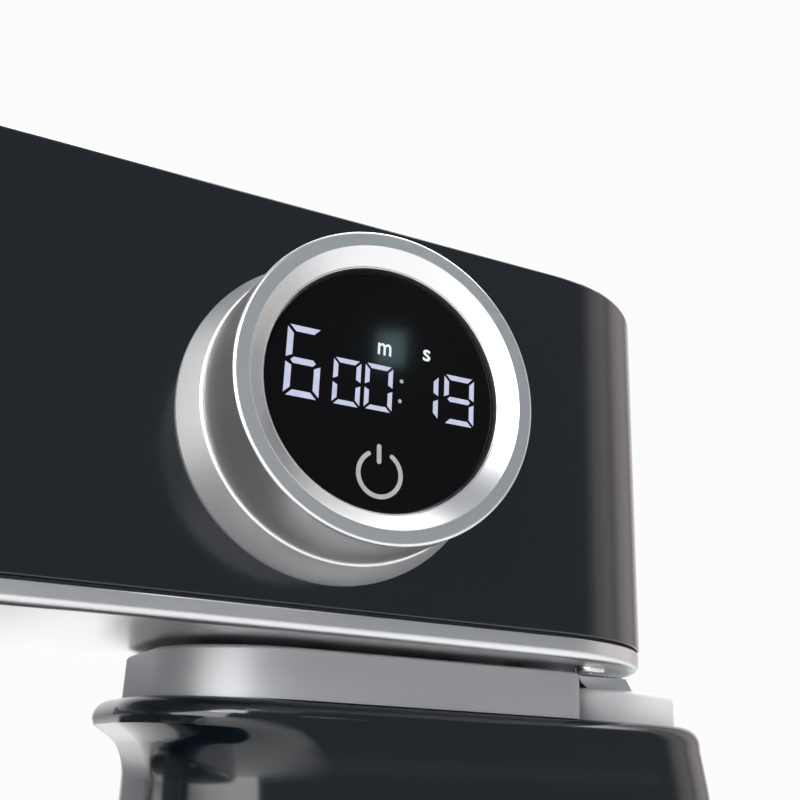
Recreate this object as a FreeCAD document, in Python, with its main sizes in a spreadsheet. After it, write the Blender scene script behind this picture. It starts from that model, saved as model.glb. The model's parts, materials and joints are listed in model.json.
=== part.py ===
import FreeCAD, Part
import math
import os
import re
import Sketcher
from FreeCAD import Placement, Rotation, Vector

# Tilt-head stand mixer. Millimetres. +X is the rear, -Y is the knob side, +Z is up.
# The origin is the middle of the footprint, on the table.

doc = FreeCAD.newDocument("stand_mixer")
sheet = doc.addObject("Spreadsheet::Sheet", "dims")

DIMENSIONS = [
    # fits and clearances
    ("press_fit", 0.02), ("running_fit", 0.05), ("over_cut", 1.0), ("hole_gap", 0.3),
    # knob axis, which the photo gives
    ("knob_x", 61.5), ("knob_z", 266.6),
    # head
    ("head_half", 54.0), ("head_front", -178.0), ("head_rear", 167.2), ("head_front_round", 50.0),
    ("head_rear_round", 47.0), ("head_top", 318.0), ("cover_low", 225.0), ("cover_wall", 2.8),
    ("cover_edge", 1.6), ("tray_low", 219.6), ("tray_rim", 224.4), ("tray_floor", 2.4),
    ("tray_wall", 3.0), ("tray_edge", 2.0), ("tray_inset", 0.3), ("seal_inset", 1.1), ("seal_lap", 0.1),
    ("vent_pitch", 6.0), ("vent_half", 1.3), ("vent_front", -45.0), ("vent_rear", -24.0),
    ("tray_screw", 1.9), ("tray_screw_long", 4.4), ("tray_head", 3.8),
    ("tray_head_high", 1.4), ("tray_head_slope", 0.4), ("tray_head_rim", 0.2), ("tray_hole_gap", 0.1),
    ("tray_front_in", 28.0), ("tray_front_side", 24.0), ("tray_mid_x", -36.0), ("tray_mid_side", 8.0),
    ("tray_rear_in", 27.2), ("tray_rear_side", 16.0),
    # foot
    ("shell_wall", 3.0), ("foot_front", -207.0), ("foot_rear", 204.0), ("foot_half", 100.0),
    ("foot_front_round", 90.0), ("foot_rear_round", 60.0), ("foot_low", 5.0), ("foot_top", 40.0),
    ("foot_edge", 9.0), ("plate_thick", 3.0), ("plate_gap", 0.3), ("boss_radius", 6.0),
    ("screw_radius", 2.0), ("screw_long", 13.0), ("screw_head", 4.0), ("screw_head_high", 1.5),
    ("screw_spare", 5.0), ("screw_front_in", 57.0), ("screw_front_y", 48.0), ("screw_mid_x", 30.0),
    ("screw_mid_side", 16.0), ("screw_rear_in", 39.0), ("screw_rear_side", 40.0), ("rubber_radius", 12.0),
    ("rubber_chamfer", 1.5), ("rubber_front_in", 39.0), ("rubber_front_y", 30.0), ("rubber_mid_x", -60.0),
    ("rubber_mid_side", 16.0), ("rubber_rear_in", 54.0), ("rubber_rear_side", 18.0),
    ("weight_rear_in", 76.0), ("weight_long", 88.0), ("weight_half", 55.0), ("weight_high", 22.0),
    ("filter_rear_in", 26.0), ("filter_long", 36.0), ("filter_half", 25.0), ("filter_high", 20.0),
    ("gland_z", 21.0), ("gland_radius", 7.0), ("gland_bore", 3.6), ("gland_depth", 12.0),
    ("gland_rim", 9.5), ("gland_rim_thick", 1.8), ("gland_nose", 6.5), ("gland_reach", 3.0),
    # column, level by level from the foot up, then its deck
    ("column_half", 44.0), ("column_front", 28.3), ("column_rear", 188.0), ("root_rise", -6.0),
    ("root_lean", -30.3), ("root_tuck", 9.5), ("root_flare", 34.0), ("root_front_round", 44.0),
    ("root_rear_round", 52.0), ("ankle_rise", 12.0), ("ankle_lean", -15.3), ("ankle_tuck", 11.0),
    ("ankle_flare", 24.0), ("ankle_front_round", 42.0), ("ankle_rear_round", 48.0), ("shin_rise", 40.0),
    ("shin_lean", -3.3), ("shin_tuck", 12.0), ("shin_flare", 14.0), ("shin_front_round", 38.0),
    ("shin_rear_round", 42.0), ("waist_rise", 80.0), ("waist_lean", 4.7), ("waist_tuck", 12.5),
    ("waist_flare", 7.0), ("waist_front_round", 35.0), ("waist_rear_round", 38.0), ("chest_rise", 120.0),
    ("chest_lean", 8.2), ("chest_tuck", 13.0), ("chest_flare", 2.5), ("chest_front_round", 34.0),
    ("chest_rear_round", 36.0), ("shoulder_drop", 12.5), ("shoulder_lean", 9.0), ("shoulder_bulge", 2.5),
    ("throat_drop", 4.5), ("throat_lean", 6.5), ("throat_bulge", 1.0), ("lip_z", 201.4),
    ("deck_top", 206.9), ("deck_edge", 4.4), ("deck_front_round", 33.0), ("deck_rear_round", 35.0),
    ("lead_x", 108.0), ("lead_radius", 7.0),
    # neck collar and its rest pads
    ("neck_front", 35.5), ("neck_rear", 137.0), ("neck_half", 41.0), ("neck_top", 218.0),
    ("neck_front_round", 28.0), ("neck_rear_round", 5.0), ("neck_wall", 3.0), ("neck_roof", 2.6),
    ("neck_edge", 1.0), ("rest_x", 60.0), ("rest_y", 22.0), ("rest_radius", 6.0), ("rest_gap", 0.3),
    # hinge
    ("hinge_x", 166.0), ("hinge_z", 209.6), ("hinge_pin_radius", 2.5), ("hinge_pin_half", 27.0),
    ("knuckle_radius", 5.5), ("hinge_bush", 3.5), ("arm_in", 12.0), ("arm_out", 20.0), ("arm_gap", 0.5),
    ("arm_ahead", 17.0), ("arm_lip", 1.0), ("arm_step", 2.0), ("arm_behind", 1.0), ("well_room", 2.0),
    ("well_gap", 0.6), ("block_front", 142.0), ("block_rear", 186.5), ("block_half", 30.0),
    ("block_top", 215.6), ("block_front_round", 8.0), ("block_rear_round", 26.0), ("block_edge", 1.8),
    ("slot_ahead", 15.5), ("slot_behind", 8.0),
    # lock
    ("lock_front", 67.0), ("lock_width", 10.0), ("lock_travel", 12.0), ("lock_gap", 0.6),
    ("lock_side", 0.4), ("lock_floor", 3.0), ("lock_roof", 3.8), ("thumb_over", 3.0), ("thumb_out", 5.0),
    ("thumb_lip", 1.6), ("keeper_over", 2.0), ("keeper_thick", 2.6), ("keeper_top", 0.6),
    ("tongue_reach", 7.5), ("tongue_near", 1.5), ("tongue_far", 1.0), ("catch_x", 90.0),
    ("catch_thick", 3.0), ("catch_near", 20.0), ("catch_far", 32.0), ("catch_low", 1.2),
    ("catch_frame_near", 2.5), ("catch_frame_far", 1.5), ("catch_frame_low", 1.2),
    ("catch_frame_high", 3.2), ("catch_room", 1.0), ("catch_lead", 4.0), ("catch_swing", 5.0),
    # knob and display, measured along the knob axis from the side of the head
    ("glass_radius", 25.6), ("glass_height", 24.2), ("glass_thick", 1.8), ("glass_gap", 0.4),
    ("cone_wide", 4.0), ("cone_deep", 4.1), ("rim_wide", 3.4), ("rim_dish", 0.1), ("rim_round", 0.7),
    ("knob_height", 28.5), ("knob_lift", 0.5), ("knob_draft", 0.5), ("skirt_wall", 1.8),
    ("skirt_draft", 0.5), ("knob_face", 2.1), ("sleeve_wall", 2.2), ("sleeve_low", 4.0),
    ("sleeve_top", 4.9), ("sleeve_slope", 3.1), ("step_height", 20.5), ("flange_out", 3.8),
    ("flange_top_out", 1.1), ("flange_height", 9.4), ("flange_wall", 2.2), ("flange_band", 1.0),
    ("flange_lip", 1.8), ("flange_gap", 1.7), ("wheel_reach", 3.5), ("wheel_thick", 1.2),
    ("notch_depth", 2.0), ("notch_width", 2.0), ("notch_turn", 15.0), ("post_inset", 0.4),
    ("post_gap", 0.1), ("stem_radius", 12.0), ("stem_bore", 9.0), ("stem_long", 11.0), ("stem_gap", 0.1),
    ("post_foot_in", 5.2), ("post_foot", 2.4), ("post_chamfer", 0.6), ("post_floor", 5.0),
    ("post_cave_in", 4.1), ("nut_radius", 17.0), ("nut_thick", 3.0), ("screen_in", 2.2),
    ("screen_gap", 0.2), ("screen_seat", 18.0), ("digit_half", 16.0), ("digit_tall", 8.0),
    ("digit_gap", 0.4),
    # control board
    ("board_front", 64.0), ("board_rear", 150.0), ("board_half", 38.0), ("board_z", 230.0),
    ("board_thick", 1.6), ("board_post", 3.0), ("board_post_in", 6.0), ("sink_ahead", 36.0),
    ("sink_thick", 4.0), ("sink_half", 30.0), ("sink_high", 24.4), ("drum_ahead", 20.0), ("drum_y", 18.0),
    ("drum_radius", 9.0), ("drum_high", 26.0), ("relay_ahead", 48.0), ("relay_long", 26.0),
    ("relay_near", -20.0), ("relay_far", 8.0), ("relay_high", 15.4), ("choke_ahead", 62.0),
    ("choke_y", 24.0), ("choke_radius", 6.0), ("choke_high", 16.0),
    # motor
    ("motor_x", 8.0), ("motor_radius", 36.0), ("rotor_radius", 22.0), ("air_gap", 0.6),
    ("spindle_radius", 4.0), ("stack_low", 246.0), ("stack_high", 282.0), ("winding_in", 2.4),
    ("winding_out", 3.4), ("winding_high", 5.0), ("shield_wall", 3.0), ("shield_boss", 4.0),
    ("low_shield_deep", 18.0), ("high_shield_deep", 13.0), ("race_radius", 11.0), ("race_high", 7.0),
    ("race_drop", 5.0), ("race_rise", 4.0), ("brush_half", 4.0), ("brush_gap", 0.5), ("brush_in", 2.0),
    ("brush_high", 9.0), ("commutator_radius", 11.0), ("commutator_low", 13.0), ("commutator_high", 0.5),
    ("fan_rise", 3.5), ("fan_radius", 23.0), ("fan_disc", 1.4), ("fan_hub", 8.0), ("fan_high", 5.0),
    ("blade_long", 15.0), ("blade_thick", 1.4), ("blade_in", 1.0), ("blade_turn", 45.0),
    # belt
    ("pulley_big", 42.0), ("pulley_small", 7.0), ("pulley_wide", 10.0), ("pulley_roof", 4.2),
    ("belt_thick", 1.6), ("belt_gap", 0.35), ("belt_side", 1.0), ("pulley_rim", 4.0), ("pulley_web", 3.0),
    ("pulley_hub", 5.0), ("pulley_hub_drop", 9.0), ("shaft_over", 1.0),
    # gear train and tool
    ("bowl_x", -90.0), ("gear_module", 1.5), ("ring_teeth", 48), ("planet_teeth", 16), ("gear_play", 0.3),
    ("ring_low", 201.0), ("gear_width", 9.0), ("gear_side", 0.5), ("ring_rim", 6.0),
    ("ring_shoulder", 2.0), ("collar_wall", 5.0), ("collar_skirt", 0.4), ("collar_roof", 4.0),
    ("collar_flare", 3.0), ("spindle_hole", 20.0), ("shaft_radius", 8.0), ("main_race", 16.0),
    ("main_race_high", 12.0), ("low_race_up", 4.4), ("high_race_down", 2.0), ("housing_foot", 40.0),
    ("housing_foot_high", 6.4), ("housing_slope", 1.6), ("housing_low_wall", 7.0), ("housing_wall", 5.0),
    ("housing_gap", 2.0), ("carrier_thick", 10.0), ("carrier_gap", 1.0), ("carrier_inset", 0.5),
    ("carrier_chamfer", 2.5), ("boss_drop", 11.0), ("boss_wall", 4.0), ("boss_chamfer", 1.5),
    ("boss_lap", 3.0), ("planet_bush_radius", 9.0), ("tool_radius", 6.0), ("tool_over", 2.0),
    ("hub_gap", 2.0), ("hub_long", 30.0), ("hub_radius", 12.0), ("hub_low_chamfer", 2.0),
    ("hub_top_chamfer", 1.0), ("hub_socket_up", 3.0), ("socket_gap", 0.1), ("tool_end_gap", 1.0),
    ("pin_drop", 12.0), ("drive_pin_radius", 1.6), ("drive_pin_half", 10.5), ("pin_slot_gap", 0.4),
    ("beater_gap", 6.0), ("beater_thick", 8.0), ("beater_toe", 30.0), ("beater_half", 60.0),
    ("beater_shoulder", 36.0), ("beater_neck", 12.0), ("belly_low", 40.0), ("belly_drop", 24.0),
    ("shoulder_lap", 2.0), ("neck_lap", 8.0), ("side_round", 100.0), ("shoulder_round", 34.0),
    ("spine_half", 7.0), ("toe_window_low", 10.0), ("toe_window_high", 33.0), ("toe_window_toe", 26.0),
    ("toe_window_side", 44.0), ("main_window_low", 42.0), ("main_window_side", 47.0),
    ("window_side_drop", 28.0), ("main_window_slope", 31.0), ("window_bend_drop", 11.0),
    ("window_top_drop", 5.0),
    # bowl and its twist-lock seat
    ("bowl_floor", 52.0), ("bowl_rim", 180.0), ("bowl_flat", 45.0), ("bowl_round", 54.0),
    ("bowl_wall", 1.2), ("bowl_lean", 6.0), ("bead_radius", 1.8), ("bead_out", 0.2), ("tube_out", 5.0),
    ("tube_wall", 4.0), ("tube_lift", 1.0), ("tube_flange", 5.0), ("tube_flange_thick", 2.0),
    ("lug_reach", 4.6), ("lug_thick", 2.4), ("lug_lift", 2.0), ("lug_angle", 28.0), ("lug_lap", 2.0),
    ("seat_gap", 1.6), ("pocket_gap", 1.4), ("seat_wall", 13.0), ("seat_taper", 1.0), ("seat_high", 7.4),
    ("seat_lip", 2.4), ("way_angle", 80.0), ("way_turn", 20.0),
]

LUG_TURNS = (0, 120, 240)
VENT_NUMBERS = range(-5, 6)
# gear tooth form
PRESSURE_ANGLE = math.radians(20)
DEDENDUM = 1.25
RING_ADDENDUM = 0.6
PLANET_ADDENDUM = 0.9
FLANK_STEPS = 4

for row, (alias, value) in enumerate(DIMENSIONS, start=1):
    sheet.set("A%d" % row, alias)
    sheet.set("B%d" % row, str(value))
    sheet.setAlias("B%d" % row, alias)
doc.recompute()

ALIAS = re.compile(r"\b([a-z]+(?:_[a-z]+)+)\b")
names_used = {}
finished = {}


def formula(text):
    return ALIAS.sub(r"dims.\1", str(text))


def size(text):
    return float(sheet.evalExpression(formula(text)))


def bind(item, prop, text):
    item.setExpression(prop, formula(text))


def fresh(name):
    names_used[name] = names_used.get(name, 0) + 1
    return "%s_%d" % (name, names_used[name])


def put(item, x, y, z):
    bind(item, "Placement.Base.x", x)
    bind(item, "Placement.Base.y", y)
    bind(item, "Placement.Base.z", z)


TURNS = {
    "z": Rotation(),
    "x": Rotation(Vector(0, 1, 0), 90),
    "y": Rotation(Vector(1, 0, 0), -90),
    "-y": Rotation(Vector(1, 0, 0), 90),
}


def rod(radius, length, x, y, z, along="z"):
    item = doc.addObject("Part::Cylinder", fresh("rod"))
    bind(item, "Radius", radius)
    bind(item, "Height", length)
    item.Placement = Placement(Vector(), TURNS[along])
    put(item, x, y, z)
    return item


def block(x_low, x_high, y_low, y_high, z_low, z_high):
    item = doc.addObject("Part::Box", fresh("block"))
    bind(item, "Length", "(%s) - (%s)" % (x_high, x_low))
    bind(item, "Width", "(%s) - (%s)" % (y_high, y_low))
    bind(item, "Height", "(%s) - (%s)" % (z_high, z_low))
    put(item, x_low, y_low, z_low)
    return item


def join(*items):
    item = doc.addObject("Part::MultiFuse", fresh("join"))
    item.Shapes = list(items)
    return item


def cut(base, *tools):
    item = doc.addObject("Part::Cut", fresh("cut"))
    item.Base = base
    item.Tool = tools[0] if len(tools) == 1 else group(*tools)
    return item


def group(*items):
    item = doc.addObject("Part::Compound", fresh("group"))
    item.Links = list(items)
    return item


def drawn(body, name, role, points, lift=None):
    """A closed outline. A point with a third value reaches the next point by an arc of that radius,
    anticlockwise when the radius is written with a plus sign and clockwise with a minus sign."""
    sketch = body.newObject("Sketcher::SketchObject", fresh(name))
    plane = [item for item in body.Origin.OriginFeatures if item.Role == role][0]
    sketch.AttachmentSupport = [(plane, "")]
    sketch.MapMode = "FlatFace"
    if lift is not None:
        bind(sketch, "AttachmentOffset.Base.z", lift)
    places = [(size(point[0]), size(point[1])) for point in points]
    count = len(points)
    starts, ends, rules, sizes = [], [], [], []
    for index, point in enumerate(points):
        here = Vector(places[index][0], places[index][1], 0)
        there = Vector(places[(index + 1) % count][0], places[(index + 1) % count][1], 0)
        if len(point) == 2:
            line = sketch.addGeometry(Part.LineSegment(here, there))
            starts.append((line, 1))
            ends.append((line, 2))
            continue
        left = point[2].strip().startswith("+")
        radius = size(point[2].strip()[1:])
        first, last = (here, there) if left else (there, here)
        chord = last - first
        rise = math.sqrt(max(radius ** 2 - (chord.Length / 2) ** 2, 0.0))
        side = Vector(-chord.y, chord.x, 0) / chord.Length
        centre = (first + last) / 2 + side * rise
        begin = math.atan2(first.y - centre.y, first.x - centre.x)
        finish = math.atan2(last.y - centre.y, last.x - centre.x)
        if finish < begin:
            finish += 2 * math.pi
        arc = sketch.addGeometry(Part.ArcOfCircle(Part.Circle(centre, Vector(0, 0, 1), radius), begin,
                                                  finish))
        starts.append((arc, 1) if left else (arc, 2))
        ends.append((arc, 2) if left else (arc, 1))
        sizes.append(("radius%d" % index, Sketcher.Constraint("Radius", arc, radius), point[2].strip()[1:]))
    for index in range(count):
        rules.append(Sketcher.Constraint("Coincident", *ends[index - 1], *starts[index]))
    sketch.addConstraint(rules)
    for index, point in enumerate(points):
        for axis, kind in ((0, "DistanceX"), (1, "DistanceY")):
            rule = Sketcher.Constraint(kind, *starts[index], places[index][axis])
            sizes.append(("%s%d" % (kind, index), rule, point[axis]))
    for label, rule, text in sizes:
        number = sketch.addConstraint(rule)
        sketch.renameConstraint(number, label)
        bind(sketch, "Constraints." + label, text)
    return sketch


def pad(points, z_low, z_high, name="pad"):
    body = doc.addObject("PartDesign::Body", fresh(name + "_body"))
    sketch = drawn(body, name + "_outline", "XY_Plane", points, z_low)
    feature = body.newObject("PartDesign::Pad", fresh(name + "_pad"))
    feature.Profile = sketch
    bind(feature, "Length", "(%s) - (%s)" % (z_high, z_low))
    body.Tip = feature
    return body


def slab(points, x_low, x_high, name="slab"):
    """An outline in Y and Z, padded along X."""
    body = doc.addObject("PartDesign::Body", fresh(name + "_body"))
    sketch = drawn(body, name + "_outline", "YZ_Plane", points, x_low)
    feature = body.newObject("PartDesign::Pad", fresh(name + "_pad"))
    feature.Profile = sketch
    bind(feature, "Length", "(%s) - (%s)" % (x_high, x_low))
    body.Tip = feature
    return body


def turned(points, x=0, y=0, z=0, along="z", name="turned"):
    """An outline in radius and height, turned about its own axis."""
    body = doc.addObject("PartDesign::Body", fresh(name + "_body"))
    sketch = drawn(body, name + "_outline", "XZ_Plane", points)
    feature = body.newObject("PartDesign::Revolution", fresh(name + "_turn"))
    feature.Profile = sketch
    feature.ReferenceAxis = (sketch, ["V_Axis"])
    feature.Angle = 360
    body.Tip = feature
    body.Placement = Placement(Vector(), TURNS[along])
    put(body, x, y, z)
    return body


def ring(inner, outer, low, high, x=0, y=0, along="z", z=0):
    return turned([(inner, low), (outer, low), (outer, high), (inner, high)], x, y, z, along, "ring")


def soften(body, radius, wanted):
    doc.recompute()
    tip = body.Tip
    edges = ["Edge%d" % (index + 1) for index, edge in enumerate(tip.Shape.Edges) if wanted(edge)]
    feature = body.newObject("PartDesign::Fillet", fresh("soft"))
    feature.Base = (tip, edges)
    bind(feature, "Radius", radius)
    body.Tip = feature
    return body


def at_height(text):
    height = size(text)
    return lambda edge: abs(edge.BoundBox.ZMin - height) < 0.01 and abs(edge.BoundBox.ZMax - height) < 0.01


def rounded(front, rear, half, front_round, rear_round, inset="0"):
    """A rectangle with rounded corners, front corners and rear corners apart."""
    low = "(%s) + (%s)" % (front, inset)
    high = "(%s) - (%s)" % (rear, inset)
    wide = "(%s) - (%s)" % (half, inset)
    round_low = "(%s) - (%s)" % (front_round, inset)
    round_high = "(%s) - (%s)" % (rear_round, inset)
    return [
        ("%s + %s" % (low, round_low), "-(%s)" % wide),
        ("%s - (%s)" % (high, round_high), "-(%s)" % wide, "+" + round_high),
        (high, "-(%s) + %s" % (wide, round_high)),
        (high, "%s - (%s)" % (wide, round_high), "+" + round_high),
        ("%s - (%s)" % (high, round_high), wide),
        ("%s + %s" % (low, round_low), wide, "+" + round_low),
        (low, "%s - (%s)" % (wide, round_low)),
        (low, "-(%s) + %s" % (wide, round_low), "+" + round_low),
    ]


def lofted(sections, inset):
    body = doc.addObject("PartDesign::Body", fresh("column_body"))
    sketches = []
    for height, front, rear, half, front_round, rear_round in sections:
        points = rounded(front, rear, half, front_round, rear_round, inset)
        sketches.append(drawn(body, "column_section", "XY_Plane", points, height))
    feature = body.newObject("PartDesign::AdditiveLoft", fresh("column_loft"))
    feature.Profile = sketches[0]
    feature.Sections = sketches[1:]
    body.Tip = feature
    return body


def gear_wire(teeth, module, thicker, tip, root):
    """An involute outline. A tooth points along +X. The teeth are thicker by the stated arc length."""
    pitch = module * teeth / 2
    base = pitch * math.cos(PRESSURE_ANGLE)

    def half_angle(radius):
        lean = math.acos(min(1.0, base / radius))
        full = math.tan(PRESSURE_ANGLE) - PRESSURE_ANGLE
        return (math.pi * module / 2 + thicker) / (2 * pitch) + full - (math.tan(lean) - lean)

    def spot(radius, angle):
        return Vector(radius * math.cos(angle), radius * math.sin(angle), 0)

    low = max(root, base * 1.001)
    radii = [low + (tip - low) * step / FLANK_STEPS for step in range(FLANK_STEPS + 1)]
    edges = []
    for tooth in range(teeth):
        middle = 2 * math.pi * tooth / teeth
        rising = [spot(radius, middle - half_angle(radius)) for radius in radii]
        falling = [spot(radius, middle + half_angle(radius)) for radius in reversed(radii)]
        foot = half_angle(low)
        start = spot(root, middle - foot)
        end = spot(root, middle + foot)
        following = spot(root, middle + 2 * math.pi / teeth - foot)
        if low > root + 1e-6:
            edges.append(Part.makeLine(start, rising[0]))
        for points in (rising, falling):
            curve = Part.BSplineCurve()
            curve.interpolate(points)
            if points is falling:
                edges.append(Part.Arc(rising[-1], spot(tip, middle), falling[0]).toShape())
            edges.append(curve.toShape())
        if low > root + 1e-6:
            edges.append(Part.makeLine(falling[-1], end))
        edges.append(Part.Arc(end, spot(root, middle + math.pi / teeth), following).toShape())
    return Part.Wire(edges)

def gear_solid(name, teeth, thicker, outward, inward, low, height, x):
    """A gear, or the space inside a ring gear. Outward and inward are in modules from the pitch circle."""
    module = size("gear_module")
    count = int(size(teeth))
    pitch = module * count / 2
    wire = gear_wire(count, module, size(thicker), pitch + outward * module, pitch - inward * module)
    item = doc.addObject("Part::Feature", fresh(name))
    item.Shape = Part.Face(wire).extrude(Vector(0, 0, size(height)))
    put(item, x, "0", low)
    return item


def wedge(radius, height, angle, turn, x, z):
    """A slice of a disc that starts at the stated turn."""
    item = doc.addObject("Part::Cylinder", fresh("wedge"))
    bind(item, "Radius", radius)
    bind(item, "Height", height)
    bind(item, "Angle", angle)
    item.Placement = Placement(Vector(), Rotation(Vector(0, 0, 1), turn))
    put(item, x, "0", z)
    return item


def spoke(start, length, width, low, height, turn):
    """A bar that runs out from the axis."""
    item = doc.addObject("Part::Box", fresh("spoke"))
    bind(item, "Length", length)
    bind(item, "Width", width)
    bind(item, "Height", height)
    spin = Rotation(Vector(0, 0, 1), turn)
    item.Placement = Placement(spin.multVec(Vector(size(start), -size(width) / 2, size(low))), spin)
    return item


def full_circle(step):
    return [number * size(step) for number in range(int(round(360 / size(step))))]


def both_sides(x, y):
    return [(x, "-(%s)" % y), (x, y)]


def keep(name, item):
    item.Label = name
    finished[name] = item


# stand
foot_outline = ("foot_front", "foot_rear", "foot_half", "foot_front_round", "foot_rear_round")
deck_outline = ("column_front", "column_rear", "column_half", "deck_front_round", "deck_rear_round")
sections = [
    ("foot_top + %s_rise" % level, "column_front + %s_lean" % level, "foot_rear - %s_tuck" % level,
     "column_half + %s_flare" % level, "%s_front_round" % level, "%s_rear_round" % level)
    for level in ("root", "ankle", "shin", "waist", "chest")]
sections += [
    ("lip_z - %s_drop" % level, "column_front + %s_lean" % level, "column_rear + %s_bulge" % level,
     *deck_outline[2:])
    for level in ("shoulder", "throat")]
sections.append(("lip_z", *deck_outline))
foot_outer = pad(rounded(*foot_outline), "foot_low", "foot_top", "foot")
soften(foot_outer, "foot_edge", at_height("foot_top"))
foot_inner = pad(rounded(*foot_outline, "shell_wall"), "foot_low - over_cut", "foot_top - shell_wall",
                 "foot_inside")
deck_outer = pad(rounded(*deck_outline), "lip_z", "deck_top", "deck")
soften(deck_outer, "deck_edge", at_height("deck_top"))
column_outer = lofted(sections, "0")
column_inner = lofted(sections, "shell_wall")
plate_high = "foot_low + plate_thick"
boss_spots = (both_sides("foot_front + screw_front_in", "screw_front_y")
              + both_sides("screw_mid_x", "foot_half - screw_mid_side")
              + both_sides("foot_rear - screw_rear_in", "foot_half - screw_rear_side"))
boss_high = "foot_top - shell_wall + over_cut - (%s)" % plate_high
bosses = [rod("boss_radius", boss_high, x, y, plate_high) for x, y in boss_spots]
boss_holes = [rod("screw_radius + press_fit", "screw_long - plate_thick + over_cut + screw_spare", x, y,
                  plate_high + " - over_cut") for x, y in boss_spots]
arm_sides = (("-arm_out", "-arm_in"), ("arm_in", "arm_out"))
wells = [block("hinge_x - knuckle_radius - well_room", "hinge_x + knuckle_radius + well_room",
               low + " - well_gap", high + " + well_gap", "hinge_z - knuckle_radius - well_gap",
               "deck_top + over_cut")
         for low, high in arm_sides]
gland_hole = rod("gland_radius + press_fit", "gland_depth + over_cut", "foot_rear - gland_depth", "0",
                 "gland_z", "x")
lead_hole = rod("lead_radius", "deck_top - lip_z + 2 * over_cut", "lead_x", "0", "lip_z - over_cut")
stand_hollow = cut(join(foot_outer, column_outer, deck_outer), join(foot_inner, column_inner))
keep("stand_shell", cut(join(stand_hollow, *bosses), *boss_holes, *wells, gland_hole, lead_hole))

plate = pad(rounded(*foot_outline, "shell_wall + plate_gap"), "foot_low", plate_high, "plate")
plate_holes = []
for x, y in boss_spots:
    plate_holes.append(rod("screw_radius + hole_gap", "plate_thick + 2 * over_cut", x, y,
                           "foot_low - over_cut"))
    plate_holes.append(rod("screw_head + hole_gap", "screw_head_high + over_cut", x, y,
                           "foot_low - over_cut"))
keep("base_plate", cut(plate, *plate_holes))
keep("base_screws", group(*[
    turned([("0", "0"), ("screw_head", "0"), ("screw_head", "screw_head_high"),
            ("screw_radius", "screw_head_high"),
            ("screw_radius", "screw_long"), ("0", "screw_long")], x, y, "foot_low", "z", "base_screw")
    for x, y in boss_spots]))
rubber_spots = (both_sides("foot_front + rubber_front_in", "rubber_front_y")
                + both_sides("rubber_mid_x", "foot_half - rubber_mid_side")
                + both_sides("foot_rear - rubber_rear_in", "foot_half - rubber_rear_side"))
keep("rubber_feet", group(*[
    turned([("0", "0"), ("rubber_radius - rubber_chamfer", "0"), ("rubber_radius", "rubber_chamfer"),
            ("rubber_radius", "foot_low"), ("0", "foot_low")], x, y, "0", "z", "rubber_foot")
    for x, y in rubber_spots]))
weight_rear = "foot_rear - weight_rear_in"
filter_rear = "foot_rear - filter_rear_in"
keep("counterweight", block(weight_rear + " - weight_long", weight_rear, "-weight_half", "weight_half",
                            plate_high, plate_high + " + weight_high"))
keep("mains_filter", block(filter_rear + " - filter_long", filter_rear, "-filter_half", "filter_half",
                           plate_high, plate_high + " + filter_high"))
keep("cord_gland", turned(
    [("gland_bore", "-gland_depth"), ("gland_radius", "-gland_depth"), ("gland_radius", "0"),
     ("gland_rim", "0"),
     ("gland_rim", "gland_rim_thick"), ("gland_nose", "gland_reach"), ("gland_bore", "gland_reach")],
    "foot_rear", "0", "gland_z", "x", "gland"))

tube_radius = "(bowl_flat + tube_out)"
pocket_radius = "(%s + lug_reach + pocket_gap)" % tube_radius
seat_bore = "%s + seat_gap" % tube_radius
seat = turned([(seat_bore, "foot_top + seat_high - seat_lip"),
               (pocket_radius, "foot_top + seat_high - seat_lip"),
               (pocket_radius, "foot_top"), (pocket_radius + " + seat_wall", "foot_top"),
               (pocket_radius + " + seat_wall - seat_taper", "foot_top + seat_high"),
               (seat_bore, "foot_top + seat_high")],
              "bowl_x", "0", "0", "z", "seat")
lug_ways = [
    cut(wedge(pocket_radius + " + over_cut", "seat_high + 2 * over_cut", "way_angle", turn + size("way_turn"),
              "bowl_x", "foot_top - over_cut"),
        rod(tube_radius + " + over_cut", "seat_high + 2 * over_cut", "bowl_x", "0", "foot_top - over_cut"))
    for turn in LUG_TURNS]
keep("bowl_seat_ring", cut(seat, *lug_ways))

neck_outline = ("neck_front", "neck_rear", "neck_half", "neck_front_round", "neck_rear_round")
neck = pad(rounded(*neck_outline), "deck_top", "neck_top", "neck")
soften(neck, "neck_edge", at_height("neck_top"))
neck_inside = pad(rounded(*neck_outline, "neck_wall"), "deck_top - over_cut", "neck_top - neck_roof",
                  "neck_inside")
catch_slot = block("catch_x - catch_lead", "catch_x + catch_thick + catch_swing", "catch_near - catch_room",
                   "catch_far + catch_room", "neck_top - neck_roof - over_cut", "neck_top + over_cut")
lock_low = "deck_top + lock_floor"
lock_high = "neck_top - lock_roof"
lock_rear = "lock_front + lock_width"
lock_window = block("lock_front - lock_gap", lock_rear + " + lock_travel + lock_gap",
                    "neck_half - neck_wall - over_cut",
                    "neck_half + over_cut", lock_low + " - lock_side", lock_high + " + lock_side")
neck_lead_hole = rod("lead_radius", "neck_roof + 2 * over_cut", "lead_x", "0",
                     "neck_top - neck_roof - over_cut")
keep("neck_collar", cut(neck, neck_inside, catch_slot, lock_window, neck_lead_hole))
keep("rest_pads", group(*[rod("rest_radius", "tray_low - neck_top - rest_gap", x, y, "neck_top")
                          for x, y in both_sides("rest_x", "rest_y")]))

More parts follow.
